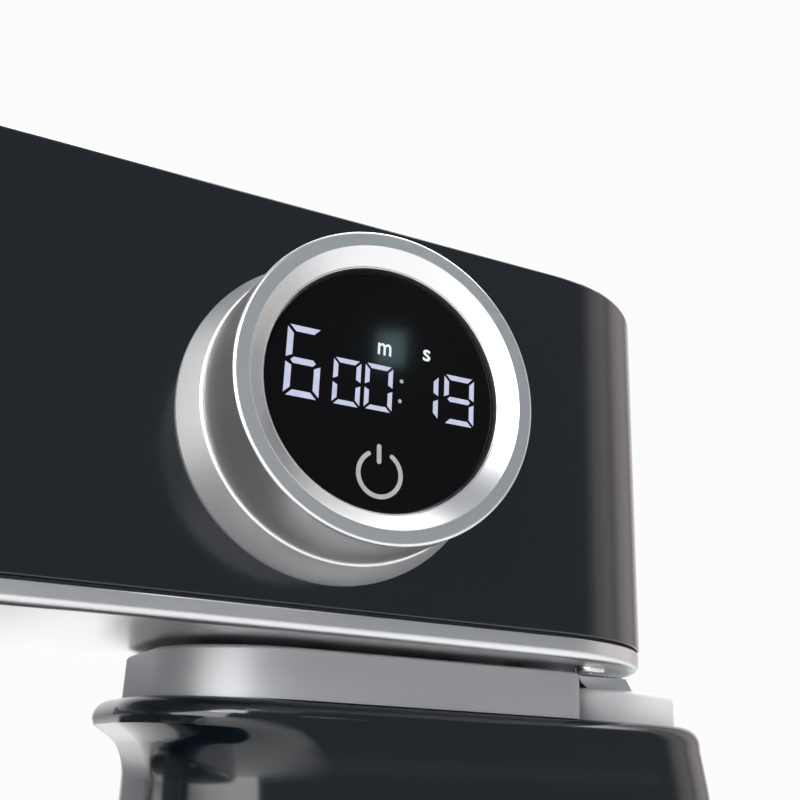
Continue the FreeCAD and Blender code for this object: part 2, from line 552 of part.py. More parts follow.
hinge_block = pad(rounded("block_front", "block_rear", "block_half", "block_front_round", "block_rear_round"),
                  "deck_top", "block_top", "hinge_block")
soften(hinge_block, "block_edge", at_height("block_top"))
slots = [block("hinge_x - slot_ahead", "hinge_x + slot_behind", low + " - arm_gap", high + " + arm_gap",
               "deck_top - over_cut", "block_top + over_cut") for low, high in arm_sides]
pin_hole = rod("hinge_pin_radius + press_fit", "2 * (hinge_pin_half + over_cut)", "hinge_x",
               "-hinge_pin_half - over_cut", "hinge_z", "y")
keep("hinge_block", cut(hinge_block, *slots, pin_hole))
keep("hinge_pin", rod("hinge_pin_radius", "2 * hinge_pin_half", "hinge_x", "-hinge_pin_half", "hinge_z", "y"))

tongue_near = "catch_near + catch_frame_near + tongue_near"
keep("lock_slider", join(
    block("lock_front - thumb_over", lock_rear + " + thumb_over", "neck_half + lock_side",
          "neck_half + thumb_out",
          lock_low + " - thumb_lip", lock_high + " + thumb_lip"),
    block("lock_front", lock_rear, tongue_near, "neck_half + over_cut", lock_low, lock_high),
    block("lock_front - keeper_over", lock_rear + " + keeper_over",
          "neck_half - neck_wall - lock_side - keeper_thick", "neck_half - neck_wall - lock_side",
          lock_low + " - thumb_lip", lock_high + " + keeper_top"),
    block("lock_front", lock_rear + " + tongue_reach", tongue_near,
          "catch_far - catch_frame_far - tongue_far",
          lock_low, lock_high)))

# head
head_outline = ("head_front", "head_rear", "head_half", "head_front_round", "head_rear_round")
cover = pad(rounded(*head_outline), "cover_low", "head_top", "cover")
soften(cover, "cover_edge", at_height("head_top"))
cover_inside = pad(rounded(*head_outline, "cover_wall"), "cover_low - over_cut", "head_top - cover_wall",
                   "cover_inside")
stem_hole = rod("stem_radius + stem_gap", "cover_wall + 2 * over_cut", "knob_x", "-head_half - over_cut",
                "knob_z", "y")
keep("head_cover", cut(cover, cover_inside, stem_hole))

tray_top = "tray_low + tray_floor"
tray = pad(rounded(*head_outline, "tray_inset"), "tray_low", "tray_rim", "tray")
soften(tray, "tray_edge", at_height("tray_low"))
tray_inside = pad(rounded(*head_outline, "tray_wall"), tray_top, "tray_rim + over_cut", "tray_inside")
vents = [block("vent_front", "vent_rear", "%d * vent_pitch - vent_half" % number,
               "%d * vent_pitch + vent_half" % number, "tray_low - over_cut", tray_top + " + over_cut")
         for number in VENT_NUMBERS]
through_floor = "tray_floor + 2 * over_cut"
tray_spots = (both_sides("head_front + tray_front_in", "head_half - tray_front_side")
              + both_sides("tray_mid_x", "head_half - tray_mid_side")
              + both_sides("head_rear - tray_rear_in", "head_half - tray_rear_side"))
tray_holes = [rod("tray_screw + tray_hole_gap", through_floor, x, y, "tray_low - over_cut") for x,
              y in tray_spots]
spindle_hole = rod("spindle_hole", through_floor, "bowl_x", "0", "tray_low - over_cut")
keep("head_tray", cut(tray, tray_inside, spindle_hole, *vents, *tray_holes))
keep("tray_screws", group(*[
    turned([("0", "-tray_head_high"), ("tray_head - tray_head_slope", "-tray_head_high"),
            ("tray_head", "-tray_head_rim"),
            ("tray_head", "0"), ("tray_screw", "0"), ("tray_screw", "tray_screw_long"),
            ("0", "tray_screw_long")],
           x, y, "tray_low", "z", "tray_screw") for x, y in tray_spots]))
keep("head_seal", cut(
    pad(rounded(*head_outline, "seal_inset"), "tray_rim", "cover_low", "seal"),
    pad(rounded(*head_outline, "tray_wall - seal_lap"), "tray_rim - over_cut", "cover_low + over_cut",
        "seal_inside")))

arms = []
bushes = []
for low, high in arm_sides:
    web = doc.addObject("PartDesign::Body", fresh("arm_body"))
    outline = drawn(web, "arm_outline", "XZ_Plane", [
        ("hinge_x - arm_ahead", "tray_low"), ("hinge_x - arm_ahead + arm_lip", "tray_low - arm_step"),
        ("hinge_x - knuckle_radius", "hinge_z"), ("hinge_x + knuckle_radius", "hinge_z"),
        ("hinge_x - arm_behind", "tray_low")], "-(%s)" % high)
    feature = web.newObject("PartDesign::Pad", fresh("arm_pad"))
    feature.Profile = outline
    bind(feature, "Length", "arm_out - arm_in")
    web.Tip = feature
    arm = join(web, rod("knuckle_radius", "arm_out - arm_in", "hinge_x", low, "hinge_z", "y"))
    arms.append(cut(arm, rod("hinge_bush + press_fit", "arm_out - arm_in + 2 * over_cut", "hinge_x",
                             low + " - over_cut", "hinge_z", "y")))
    bushes.append(ring("hinge_pin_radius + running_fit", "hinge_bush", "0", "arm_out - arm_in",
                       "hinge_x", low, "y", "hinge_z"))
keep("hinge_arms", group(*arms))
keep("hinge_bushes", group(*bushes))
catch = block("catch_x", "catch_x + catch_thick", "catch_near", "catch_far", "deck_top + catch_low",
              "tray_low")
catch_window = block("catch_x - over_cut", "catch_x + catch_thick + over_cut",
                     "catch_near + catch_frame_near",
                     "catch_far - catch_frame_far", "deck_top + catch_low + catch_frame_low",
                     "neck_top - catch_frame_high")
keep("lock_catch", cut(catch, catch_window))

# knob and display, each turned about the knob axis, heights out from the side of the head
knob_place = ("knob_x", "-head_half", "knob_z", "-y")
post_radius = "(glass_radius - post_inset)"
ring_bore = "(%s + post_gap)" % post_radius
sleeve_radius = "(%s + sleeve_wall)" % ring_bore
cone_radius = "(glass_radius + cone_wide)"
knob_rim = "(%s + rim_wide)" % cone_radius
flange_radius = "(%s + flange_out)" % knob_rim
flange_front = "(%s + flange_top_out)" % knob_rim
glass_low = "(glass_height - glass_thick)"
flange_bore = "%s + flange_gap" % sleeve_radius
keep("knob_flange", turned(
    [(flange_radius + " - flange_wall", "0"), (flange_radius, "0"), (flange_radius, "flange_band"),
     (flange_front, "flange_height"), (flange_bore, "flange_height"),
     (flange_bore, "flange_height - flange_lip"),
     (flange_front + " - flange_wall", "flange_height - flange_lip")], *knob_place, "flange"))
skirt_inner = "%s - skirt_wall" % knob_rim
glass_pocket = "glass_radius + glass_gap"
keep("knob_ring", turned(
    [(ring_bore, "sleeve_low"), (sleeve_radius, "sleeve_low"), (sleeve_radius, "knob_height - sleeve_top"),
     (knob_rim + " - sleeve_slope", "knob_height - knob_face"), (skirt_inner, "knob_height - knob_face"),
     (skirt_inner + " + skirt_draft", "flange_height + knob_lift"),
     (knob_rim + " + knob_draft", "flange_height + knob_lift"),
     (knob_rim, "knob_height - rim_round", "+rim_round"), (knob_rim + " - rim_round", "knob_height"),
     (cone_radius, "knob_height - rim_dish"), (glass_pocket, "knob_height - cone_deep"),
     (glass_pocket, "step_height"),
     (ring_bore, "step_height")], *knob_place, "knob"))
wheel_radius = "%s + wheel_reach" % sleeve_radius
notches = [
    spoke(wheel_radius + " - notch_depth", "notch_depth + over_cut", "notch_width", "sleeve_low - over_cut",
          "wheel_thick + 2 * over_cut", turn) for turn in full_circle("notch_turn")]
wheel = cut(ring(sleeve_radius + " + press_fit", wheel_radius, "sleeve_low", "sleeve_low + wheel_thick"),
            *notches)
wheel.Placement = Placement(Vector(), TURNS["-y"])
put(wheel, *knob_place[:3])
keep("encoder_wheel", wheel)
post_foot_radius = "%s - post_foot_in" % post_radius
screen_radius = "(glass_radius - screen_in)"
screen_pocket = "%s + screen_gap" % screen_radius
post_cave = "glass_radius - post_cave_in"
keep("display_post", turned(
    [("stem_bore", "-stem_long"), ("stem_radius", "-stem_long"), ("stem_radius", "0"),
     (post_foot_radius, "0"),
     (post_foot_radius, "post_foot"), (post_radius, "post_foot + post_chamfer"), (post_radius, glass_low),
     (screen_pocket, glass_low), (screen_pocket, "screen_seat"), (post_cave, "screen_seat"),
     (post_cave, "post_floor"),
     ("stem_bore", "post_floor")], *knob_place, "post"))
keep("post_nut", ring("stem_radius + press_fit", "nut_radius", "-cover_wall - nut_thick", "-cover_wall",
                      "knob_x", "-head_half", "-y", "knob_z"))
keep("display_glass", turned(
    [("0", glass_low), ("glass_radius", glass_low), ("glass_radius", "glass_height"), ("0", "glass_height")],
    *knob_place, "glass"))
screen_top = "screen_seat + board_thick"
keep("display_board", turned(
    [("0", "screen_seat"), (screen_radius, "screen_seat"), (screen_radius, screen_top), ("0", screen_top)],
    *knob_place, "board"))
keep("digit_module", block("knob_x - digit_half", "knob_x + digit_half",
                           "-head_half - %s + digit_gap" % glass_low,
                           "-head_half - (%s)" % screen_top, "knob_z - digit_tall", "knob_z + digit_tall"))

# control board
board_top = "board_z + board_thick"
keep("control_board", block("board_front", "board_rear", "-board_half", "board_half", "board_z", board_top))
post_spots = (both_sides("board_front + board_post_in", "board_half - board_post_in")
              + both_sides("board_rear - board_post_in", "board_half - board_post_in"))
keep("board_posts", group(*[rod("board_post", "board_z - (%s)" % tray_top, x, y, tray_top) for x,
                            y in post_spots]))
sink_x = "board_front + sink_ahead"
relay_x = "board_front + relay_ahead"
keep("board_components", group(
    block(sink_x, sink_x + " + sink_thick", "-sink_half", "sink_half", board_top, board_top + " + sink_high"),
    rod("drum_radius", "drum_high", "board_front + drum_ahead", "drum_y", board_top),
    block(relay_x, relay_x + " + relay_long", "relay_near", "relay_far", board_top,
          board_top + " + relay_high"),
    rod("choke_radius", "choke_high", "board_front + choke_ahead", "choke_y", board_top)))

# motor, upright in the head
motor_place = ("motor_x", "0", "0", "z")
pulley_high = "(head_top - cover_wall - pulley_roof)"
pulley_low = "(%s - pulley_wide)" % pulley_high
stator_bore = "(rotor_radius + air_gap)"
spindle_bore = "spindle_radius + press_fit"
race_bore = "spindle_radius + running_fit"
race_seat = "race_radius + press_fit"
race_boss = "race_radius + shield_boss"
shield_inner = "motor_radius - shield_wall"
low_floor = "stack_low - low_shield_deep + shield_wall"
high_floor = "stack_high + high_shield_deep - shield_wall"
low_race = "stack_low - low_shield_deep - race_drop"
keep("motor_stator", ring(stator_bore, "motor_radius", "stack_low", "stack_high", "motor_x"))
keep("stator_windings", group(*[
    ring(stator_bore + " + winding_in", "motor_radius - winding_out", low, high, "motor_x")
    for low, high in (("stack_low - winding_high", "stack_low"),
                      ("stack_high", "stack_high + winding_high"))]))
keep("motor_low_shield", turned(
    [(race_seat, tray_top), (race_boss, tray_top), (race_boss, "stack_low - low_shield_deep"),
     ("motor_radius", "stack_low - low_shield_deep"), ("motor_radius", "stack_low"),
     (shield_inner, "stack_low"),
     (shield_inner, low_floor), (race_seat, low_floor)], *motor_place, "low_shield"))
high_end = "stack_high + high_shield_deep"
keep("motor_high_shield", turned(
    [(shield_inner, "stack_high"), ("motor_radius", "stack_high"), ("motor_radius", high_end),
     (race_boss, high_end),
     (race_boss, high_end + " + race_rise"), (race_seat, high_end + " + race_rise"), (race_seat, high_floor),
     (shield_inner, high_floor)], *motor_place, "high_shield"))
keep("motor_bearings", group(*[
    ring(race_bore, "race_radius", low, low + " + race_high", "motor_x") for low in (low_race, high_floor)]))
brush_start = "commutator_radius + brush_gap"
brush_end = shield_inner + " - brush_in"
keep("brush_holders", group(*[
    block("motor_x - brush_half", "motor_x + brush_half", low, high, low_floor, low_floor + " + brush_high")
    for low, high in (("-(%s)" % brush_end, "-(%s)" % brush_start), (brush_start, brush_end))]))
keep("rotor_core", ring(spindle_bore, "rotor_radius", "stack_low", "stack_high", "motor_x"))
keep("rotor_shaft", rod("spindle_radius", "%s + shaft_over - (%s)" % (pulley_high, low_race), "motor_x",
                        "0", low_race))
keep("commutator", ring(spindle_bore, "commutator_radius", "stack_low - commutator_low",
                        "stack_low - commutator_high",
                        "motor_x"))
blades = [spoke("fan_hub - blade_in", "blade_long", "blade_thick", "0", "fan_high", turn)
          for turn in full_circle("blade_turn")]
fan = join(ring(spindle_bore, "fan_radius", "0", "fan_disc"),
           ring(spindle_bore, "fan_hub", "0", "fan_high"), *blades)
put(fan, "motor_x", "0", "stack_high + fan_rise")
keep("cooling_fan", fan)
keep("motor_pulley", ring(spindle_bore, "pulley_small", pulley_low, pulley_high, "motor_x"))


def belt_loop(extra, low, high):
    """The outline around both pulleys, which is two straight runs and three arcs."""
    big = "(pulley_big + belt_gap + (%s))" % extra
    small = "(pulley_small + belt_gap + (%s))" % extra
    across = "((pulley_big - pulley_small) / (motor_x - bowl_x))"
    along = "sqrt(1 - %s * %s)" % (across, across)
    return pad([
        ("bowl_x + %s * %s" % (big, across), "-%s * %s" % (big, along)),
        ("motor_x + %s * %s" % (small, across), "-%s * %s" % (small, along), "+" + small),
        ("motor_x + %s * %s" % (small, across), "%s * %s" % (small, along)),
        ("bowl_x + %s * %s" % (big, across), "%s * %s" % (big, along), "+" + big),
        ("bowl_x - %s" % big, "0", "+" + big)], low, high, "belt")


keep("drive_belt", cut(belt_loop("belt_thick", pulley_low + " + belt_side", pulley_high + " - belt_side"),
                       belt_loop("0", pulley_low, pulley_high)))

# gear train at the front of the head
gear_place = ("bowl_x", "0", "0", "z")
shaft_bore = "shaft_radius + press_fit"
hub_under = "(%s - pulley_hub_drop)" % pulley_low
housing_top = "(%s - housing_gap)" % hub_under
housing_bore = "main_race + press_fit"
keep("gear_housing", turned(
    [(housing_bore, tray_top), ("housing_foot", tray_top), ("housing_foot", "tray_low + housing_foot_high"),
     ("main_race + housing_low_wall", "tray_low + housing_foot_high + housing_slope"),
     ("main_race + housing_wall", housing_top), (housing_bore, housing_top)], *gear_place, "housing"))
keep("main_bearings", group(*[
    ring("shaft_radius + running_fit", "main_race", low, low + " + main_race_high", "bowl_x")
    for low in ("tray_low + low_race_up", housing_top + " - high_race_down - main_race_high")]))
ring_high = "ring_low + gear_width"
ring_outer = "(gear_module * ring_teeth / 2 + ring_rim)"
collar_radius = "(%s + collar_wall)" % ring_outer
collar_under = "tray_low - collar_roof"
shoulder_radius = "%s - ring_shoulder" % ring_outer
keep("gear_collar", turned(
    [(ring_outer + " + press_fit", "ring_low - collar_skirt"), (collar_radius, "ring_low - collar_skirt"),
     (collar_radius, collar_under), (collar_radius + " + collar_flare", "tray_low"),
     ("spindle_hole", "tray_low"),
     ("spindle_hole", collar_under), (shoulder_radius, collar_under), (shoulder_radius, ring_high),
     (ring_outer + " + press_fit", ring_high)], *gear_place, "collar"))
planet_x = "(bowl_x + gear_module * (ring_teeth - planet_teeth) / 2)"
ring_space = gear_solid("ring_space", "ring_teeth", "gear_play", DEDENDUM, RING_ADDENDUM,
                        "ring_low - over_cut", "gear_width + 2 * over_cut", "bowl_x")
keep("ring_gear", cut(rod(ring_outer, "gear_width", "bowl_x", "0", "ring_low"), ring_space))
planet_blank = gear_solid("planet_blank", "planet_teeth", "-gear_play", PLANET_ADDENDUM, DEDENDUM,
                          "ring_low + gear_side", "gear_width - 2 * gear_side", planet_x)
keep("planet_gear", cut(planet_blank, rod("tool_radius + press_fit", "gear_width", planet_x, "0",
                                          "ring_low")))
carrier_low = "(ring_low - carrier_thick)"
carrier_top = "(ring_low - carrier_gap)"
carrier_radius = "%s - carrier_inset" % collar_radius
boss_low = "(%s - boss_drop)" % carrier_low
planet_boss = "planet_bush_radius + boss_wall"
keep("main_shaft", rod("shaft_radius", "%s + shaft_over - %s" % (pulley_high, carrier_low), "bowl_x",
                       "0", carrier_low))
pulley_hub_radius = "shaft_radius + pulley_hub"
pulley_inner = "pulley_big - pulley_rim"
keep("drive_pulley", turned(
    [(shaft_bore, hub_under), (pulley_hub_radius, hub_under),
     (pulley_hub_radius, pulley_low + " + pulley_web"),
     (pulley_inner, pulley_low + " + pulley_web"), (pulley_inner, pulley_low), ("pulley_big", pulley_low),
     ("pulley_big", pulley_high), (pulley_inner, pulley_high), (pulley_inner, pulley_high + " - pulley_web"),
     (pulley_hub_radius, pulley_high + " - pulley_web"), (pulley_hub_radius, pulley_high),
     (shaft_bore, pulley_high)],
    *gear_place, "pulley"))
carrier = turned(
    [("0", carrier_low), (carrier_radius + " - carrier_chamfer", carrier_low),
     (carrier_radius, carrier_low + " + carrier_chamfer"), (carrier_radius, carrier_top), ("0", carrier_top)],
    *gear_place, "carrier")
boss = turned(
    [("0", boss_low), (planet_boss + " - boss_chamfer", boss_low),
     (planet_boss, boss_low + " + boss_chamfer"),
     (planet_boss, carrier_low + " + boss_lap"), ("0", carrier_low + " + boss_lap")], planet_x, "0", "0",
     "z", "boss")
bush_hole = rod("planet_bush_radius + press_fit", "%s - %s + 2 * over_cut" % (carrier_top, boss_low),
                planet_x, "0",
                boss_low + " - over_cut")
shaft_hole = rod(shaft_bore, "carrier_thick + 2 * over_cut", "bowl_x", "0", carrier_low + " - over_cut")
keep("planet_carrier", cut(join(carrier, boss), bush_hole, shaft_hole))
keep("planet_bush", ring("tool_radius + running_fit", "planet_bush_radius", boss_low, carrier_top, planet_x))

# tool
hub_top = "(%s - hub_gap)" % boss_low
hub_low = "(%s - hub_long)" % hub_top
socket_low = "(%s + hub_socket_up)" % hub_low
shaft_end = "(%s + tool_end_gap)" % socket_low
pin_z = "(%s - pin_drop)" % hub_top
pin_way = rod("drive_pin_radius + press_fit", "2 * (tool_radius + over_cut)", planet_x,
              "-tool_radius - over_cut", pin_z, "y")
keep("tool_shaft", cut(rod("tool_radius", "%s + tool_over - %s" % (ring_high, shaft_end), planet_x, "0",
                           shaft_end), pin_way))
keep("drive_pin", rod("drive_pin_radius", "2 * drive_pin_half", planet_x, "-drive_pin_half", pin_z, "y"))
beater_low = "(bowl_floor + beater_gap)"
belly_top = hub_low + " - belly_drop"
beater_front = planet_x + " - beater_thick / 2"
beater_back = planet_x + " + beater_thick / 2"
beater_plate = slab(
    [("-beater_toe", beater_low), ("beater_toe", beater_low, "+side_round"),
     ("beater_half", beater_low + " + belly_low"),
     ("beater_half", belly_top, "+shoulder_round"), ("beater_shoulder", hub_low + " + shoulder_lap"),
     ("beater_neck", hub_low + " + neck_lap"), ("-beater_neck", hub_low + " + neck_lap"),
     ("-beater_shoulder", hub_low + " + shoulder_lap", "+shoulder_round"), ("-beater_half", belly_top),
     ("-beater_half", beater_low + " + belly_low", "+side_round")], beater_front, beater_back, "beater")
windows = []
for sign in ("", "-"):
    windows.append(slab(
        [(sign + "spine_half", beater_low + " + toe_window_low"),
         (sign + "toe_window_toe", beater_low + " + toe_window_low"),
         (sign + "toe_window_side", beater_low + " + toe_window_high"),
         (sign + "spine_half", beater_low + " + toe_window_high")],
        beater_front + " - over_cut", beater_back + " + over_cut", "toe_window"))
    windows.append(slab(
        [(sign + "spine_half", beater_low + " + main_window_low"),
         (sign + "main_window_side", beater_low + " + main_window_low"),
         (sign + "main_window_side", hub_low + " - window_side_drop"),
         (sign + "main_window_slope", hub_low + " - window_bend_drop"),
         (sign + "spine_half", hub_low + " - window_top_drop")],
        beater_front + " - over_cut", beater_back + " + over_cut", "main_window"))
beater_hub = turned(
    [("0", hub_low), ("hub_radius - hub_low_chamfer", hub_low),
     ("hub_radius", hub_low + " + hub_low_chamfer"),
     ("hub_radius", hub_top + " - hub_top_chamfer"), ("hub_radius - hub_top_chamfer", hub_top),
     ("0", hub_top)],
    planet_x, "0", "0", "z", "beater_hub")
slot_half = "(drive_pin_radius + pin_slot_gap)"
pin_slot = block("%s - %s" % (planet_x, slot_half), "%s + %s" % (planet_x, slot_half),
                 "-hub_radius - over_cut",
                 "hub_radius + over_cut", "%s - %s" % (pin_z, slot_half), hub_top + " + over_cut")
socket = rod("tool_radius + socket_gap", "hub_long", planet_x, "0", socket_low)
keep("flat_beater", cut(join(cut(beater_plate, *windows), beater_hub), socket, pin_slot))

# bowl
bowl_place = ("bowl_x", "0", "0", "z")
bowl_under = "bowl_floor - bowl_wall"
round_z = "(bowl_floor + bowl_round)"
out_round = "(bowl_round + bowl_wall)"
in_run = "((bowl_rim - %s + bowl_round * sin(bowl_lean)) * tan(bowl_lean))" % round_z
out_run = "((bowl_rim - %s + %s * sin(bowl_lean)) * tan(bowl_lean))" % (round_z, out_round)
in_x = "bowl_flat + bowl_round * cos(bowl_lean)"
out_x = "bowl_flat + %s * cos(bowl_lean)" % out_round
bowl_wall = turned([
    ("0", bowl_under), ("bowl_flat", bowl_under, "+" + out_round),
    (out_x, "%s - %s * sin(bowl_lean)" % (round_z, out_round)), ("%s + %s" % (out_x, out_run), "bowl_rim"),
    ("%s + %s" % (in_x, in_run), "bowl_rim"), (in_x, "%s - bowl_round * sin(bowl_lean)" % round_z,
                                               "-bowl_round"),
    ("bowl_flat", "bowl_floor"), ("0", "bowl_floor")], *bowl_place, "bowl")
bead = doc.addObject("Part::Torus", fresh("bead"))
bind(bead, "Radius1", "%s + %s + bead_out" % (in_x, in_run))
bind(bead, "Radius2", "bead_radius")
put(bead, "bowl_x", "0", "bowl_rim")
keep("mixing_bowl", join(bowl_wall, bead))
lugs = [wedge(tube_radius + " + lug_reach", "lug_thick", "lug_angle", turn - size("lug_angle") / 2,
              "bowl_x", "foot_top + lug_lift") for turn in LUG_TURNS]
lug_core = rod(tube_radius + " - lug_lap", "lug_thick", "bowl_x", "0", "foot_top + lug_lift")
base_tube = ring(tube_radius + " - tube_wall", tube_radius, "foot_top + tube_lift", bowl_under, "bowl_x")
base_flange = ring("bowl_flat - tube_flange", tube_radius, bowl_under + " - tube_flange_thick",
                   bowl_under, "bowl_x")
keep("bowl_base_ring", join(base_tube, base_flange, cut(group(*lugs), lug_core)))

doc.recompute()
faults = []
for item in doc.Objects:
    if "Invalid" in item.State or "Error" in item.State:
        faults.append("%s %s" % (item.Name, item.State))
os.makedirs("parts", exist_ok=True)
for name, item in finished.items():
    if item.Shape.isNull() or not item.Shape.isValid() or not item.Shape.Solids:
        faults.append("%s has no valid solid" % name)
if faults:
    raise RuntimeError("; ".join(faults))
for name, item in finished.items():
    item.Shape.exportStep("parts/%s.step" % name)
print(len(finished), "parts written")
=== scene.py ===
import bmesh
import bpy
import json
import math
from mathutils import Matrix, Vector


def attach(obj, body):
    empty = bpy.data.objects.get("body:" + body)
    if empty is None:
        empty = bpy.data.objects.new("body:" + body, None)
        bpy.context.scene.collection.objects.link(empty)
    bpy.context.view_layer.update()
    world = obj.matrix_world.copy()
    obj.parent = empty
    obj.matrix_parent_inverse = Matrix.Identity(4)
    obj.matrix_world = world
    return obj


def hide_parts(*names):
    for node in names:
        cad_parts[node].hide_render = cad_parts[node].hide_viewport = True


# Tilt-head stand mixer. Metres. +X is the rear, -Y is the knob side, +Z is up.

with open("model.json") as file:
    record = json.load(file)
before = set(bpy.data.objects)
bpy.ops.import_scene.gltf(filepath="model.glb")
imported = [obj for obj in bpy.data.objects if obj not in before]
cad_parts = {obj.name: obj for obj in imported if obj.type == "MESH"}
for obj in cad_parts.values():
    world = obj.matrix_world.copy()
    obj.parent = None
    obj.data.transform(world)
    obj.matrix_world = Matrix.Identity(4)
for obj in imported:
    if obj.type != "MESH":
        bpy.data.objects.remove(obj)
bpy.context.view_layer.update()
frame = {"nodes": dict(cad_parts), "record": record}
MM = 0.001
SIDES = (-1, 1)

# tolerances: places in metres, the axis in millimetres, flat as a normal's upright part, sharp in radians
SAME_HEIGHT = 2e-5
SAME_FACE = 1e-5
SAME_END = 1e-6
SAME_POINT = 1e-7
WELD = 1e-6
COPY_WELD = 2e-6
ON_AXIS = 1e-6
FLAT = 0.9
SHARP = 0.5

# shading and facets, angles in degrees
PLAIN_ANGLE = 32
TURNED_ANGLE = 28
STAND_ANGLE = 30
MERGE_ANGLE = 0.6
BROKEN_EDGE_ANGLE = 38
NORMAL_WEIGHT = 90
ROUND_STEPS = 96
TURN_STEPS = 192
GLASS_STEPS = 160


# ways of working

def leave_edit():
    if bpy.context.object and bpy.context.object.mode != "OBJECT":
        bpy.ops.object.mode_set(mode="OBJECT")


def clear_selection():
    leave_edit()
    bpy.ops.object.select_all(action="DESELECT")


def take(piece):
    clear_selection()
    piece.select_set(True)
    bpy.context.view_layer.objects.active = piece


def edit(piece):
    take(piece)
    bpy.ops.object.mode_set(mode="EDIT")
    bpy.ops.mesh.select_all(action="DESELECT")


def pick(piece, kind, wanted):
    """Selects the vertices, edges or faces that answer to wanted. The piece is in edit mode."""
    bpy.ops.mesh.select_mode(type=kind)
    bpy.ops.mesh.select_all(action="DESELECT")
    shape = bmesh.from_edit_mesh(piece.data)
    parts = {"VERT": shape.verts, "EDGE": shape.edges, "FACE": shape.faces}[kind]
    for part in parts:
        if wanted(part):
            part.select_set(True)
    shape.select_flush_mode()
    bmesh.update_edit_mesh(piece.data)


def settle(piece):
    take(piece)
    bpy.ops.object.transform_apply(location=True, rotation=True, scale=True)


def face_out(piece):
    edit(piece)
    bpy.ops.mesh.select_all(action="SELECT")
    bpy.ops.mesh.normals_make_consistent(inside=False)
    leave_edit()


def use(piece, kind, **values):
    """Adds a modifier and applies it."""
    take(piece)
    change = piece.modifiers.new(kind.lower(), kind)
    for key, value in values.items():
        setattr(change, key, value)
    bpy.ops.object.modifier_apply(modifier=change.name)


def combine(piece, way, tools):
    """Joins the tools to a piece or takes them from it, and removes them."""
    for tool in tools:
        use(piece, "BOOLEAN", operation=way, solver="EXACT", object=tool)
        bpy.data.objects.remove(tool, do_unlink=True)


def cut_away(piece, *tools):
    combine(piece, "DIFFERENCE", tools)


def smooth(piece, angle=PLAIN_ANGLE):
    take(piece)
    bpy.ops.object.shade_smooth_by_angle(angle=math.radians(angle), keep_sharp_edges=False)
    use(piece, "WEIGHTED_NORMAL", weight=NORMAL_WEIGHT, keep_sharp=True)


def finish_piece(piece, name, body, slot, paint, *nodes):
    leave_edit()
    piece.name = name
    piece.data.name = name
    piece.data.materials.clear()
    piece.data.materials.append(paint)
    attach(piece, body)
    if nodes:
        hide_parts(*nodes)


# shapes, with sizes in millimetres

def box_tool(x_low, x_high, y_low, y_high, z_low, z_high):
    clear_selection()
    middle = ((x_low + x_high) / 2 * MM, (y_low + y_high) / 2 * MM, (z_low + z_high) / 2 * MM)
    bpy.ops.mesh.primitive_cube_add(size=1, location=middle)
    tool = bpy.context.object
    tool.scale = ((x_high - x_low) * MM, (y_high - y_low) * MM, (z_high - z_low) * MM)
    settle(tool)
    return tool


def round_tool(radius, x, y, z_low, z_high):
    clear_selection()
    middle = (x * MM, y * MM, (z_low + z_high) / 2 * MM)
    bpy.ops.mesh.primitive_cylinder_add(vertices=ROUND_STEPS, radius=radius * MM,
                                        depth=(z_high - z_low) * MM, location=middle)
    tool = bpy.context.object
    settle(tool)
    return tool


def cut_both_sides(piece, x_low, x_high, y_near, y_far, z_low, z_high):
    """The same box cut on either side of the middle."""
    for side in SIDES:
        low, high = sorted((side * y_near, side * y_far))
        cut_away(piece, box_tool(x_low, x_high, low, high, z_low, z_high))


def cut_crosses(piece, spots, reach, half, z_low, z_high):
    """A crossed slot in each screw head, on either side of the middle."""
    for x, y in spots:
        for side in SIDES:
            middle = side * y
            cut_away(piece, box_tool(x - reach, x + reach, middle - half, middle + half, z_low, z_high))
            cut_away(piece, box_tool(x - half, x + half, middle - reach, middle + reach, z_low, z_high))


def plate(front, rear, half, front_round, rear_round, z_low, z_high, steps):
    """A block with rounded upright corners, raised from a flat sheet."""
    clear_selection()
    middle = (front + rear) / 2 * MM
    bpy.ops.mesh.primitive_plane_add(size=1, location=(middle, 0, z_low * MM))
    piece = bpy.context.object
    piece.scale = ((rear - front) * MM, 2 * half * MM, 1)
    settle(piece)
    ends = (
        (front_round, lambda corner: corner.co.x < middle),
        (rear_round, lambda corner: corner.co.x > rear * MM - SAME_END),
    )
    edit(piece)
    for radius, wanted in ends:
        pick(piece, "VERT", wanted)
        bpy.ops.mesh.bevel(offset=radius * MM, offset_type="OFFSET", segments=steps, affect="VERTICES")
    bpy.ops.mesh.select_mode(type="FACE")
    bpy.ops.mesh.select_all(action="SELECT")
    bpy.ops.mesh.extrude_region_move(TRANSFORM_OT_translate={"value": (0, 0, (z_high - z_low) * MM)})
    bpy.ops.mesh.select_mode(type="EDGE")
    bpy.ops.mesh.select_all(action="DESELECT")
    bpy.ops.mesh.select_non_manifold()
    bpy.ops.mesh.edge_face_add()
    leave_edit()
    face_out(piece)
    return piece


def soften(piece, z, radius, steps):
    """Rounds the edges that lie at one height."""
    def wanted(edge):
        level = all(abs(end.co.z - z * MM) < SAME_HEIGHT for end in edge.verts)
        return level and edge.calc_face_angle(0) > SHARP

    edit(piece)
    pick(piece, "EDGE", wanted)
    bpy.ops.mesh.bevel(offset=radius * MM, offset_type="OFFSET", segments=steps, affect="EDGES",
                       clamp_overlap=False)
    leave_edit()


def pick_flat(piece, z):
    """Selects the flat face at one height."""
    def wanted(face):
        return abs(face.calc_center_median().z - z * MM) < SAME_FACE and abs(face.normal.z) > FLAT

    edit(piece)
    pick(piece, "FACE", wanted)


def hollow_out(piece, z, wall):
    """Takes off the flat face at one height and gives the rest a wall, inwards from its surface."""
    pick_flat(piece, z)
    bpy.ops.mesh.delete(type="FACE")
    leave_edit()
    use(piece, "SOLIDIFY", thickness=wall * MM, offset=-1, use_even_offset=True, use_rim=True)
    face_out(piece)


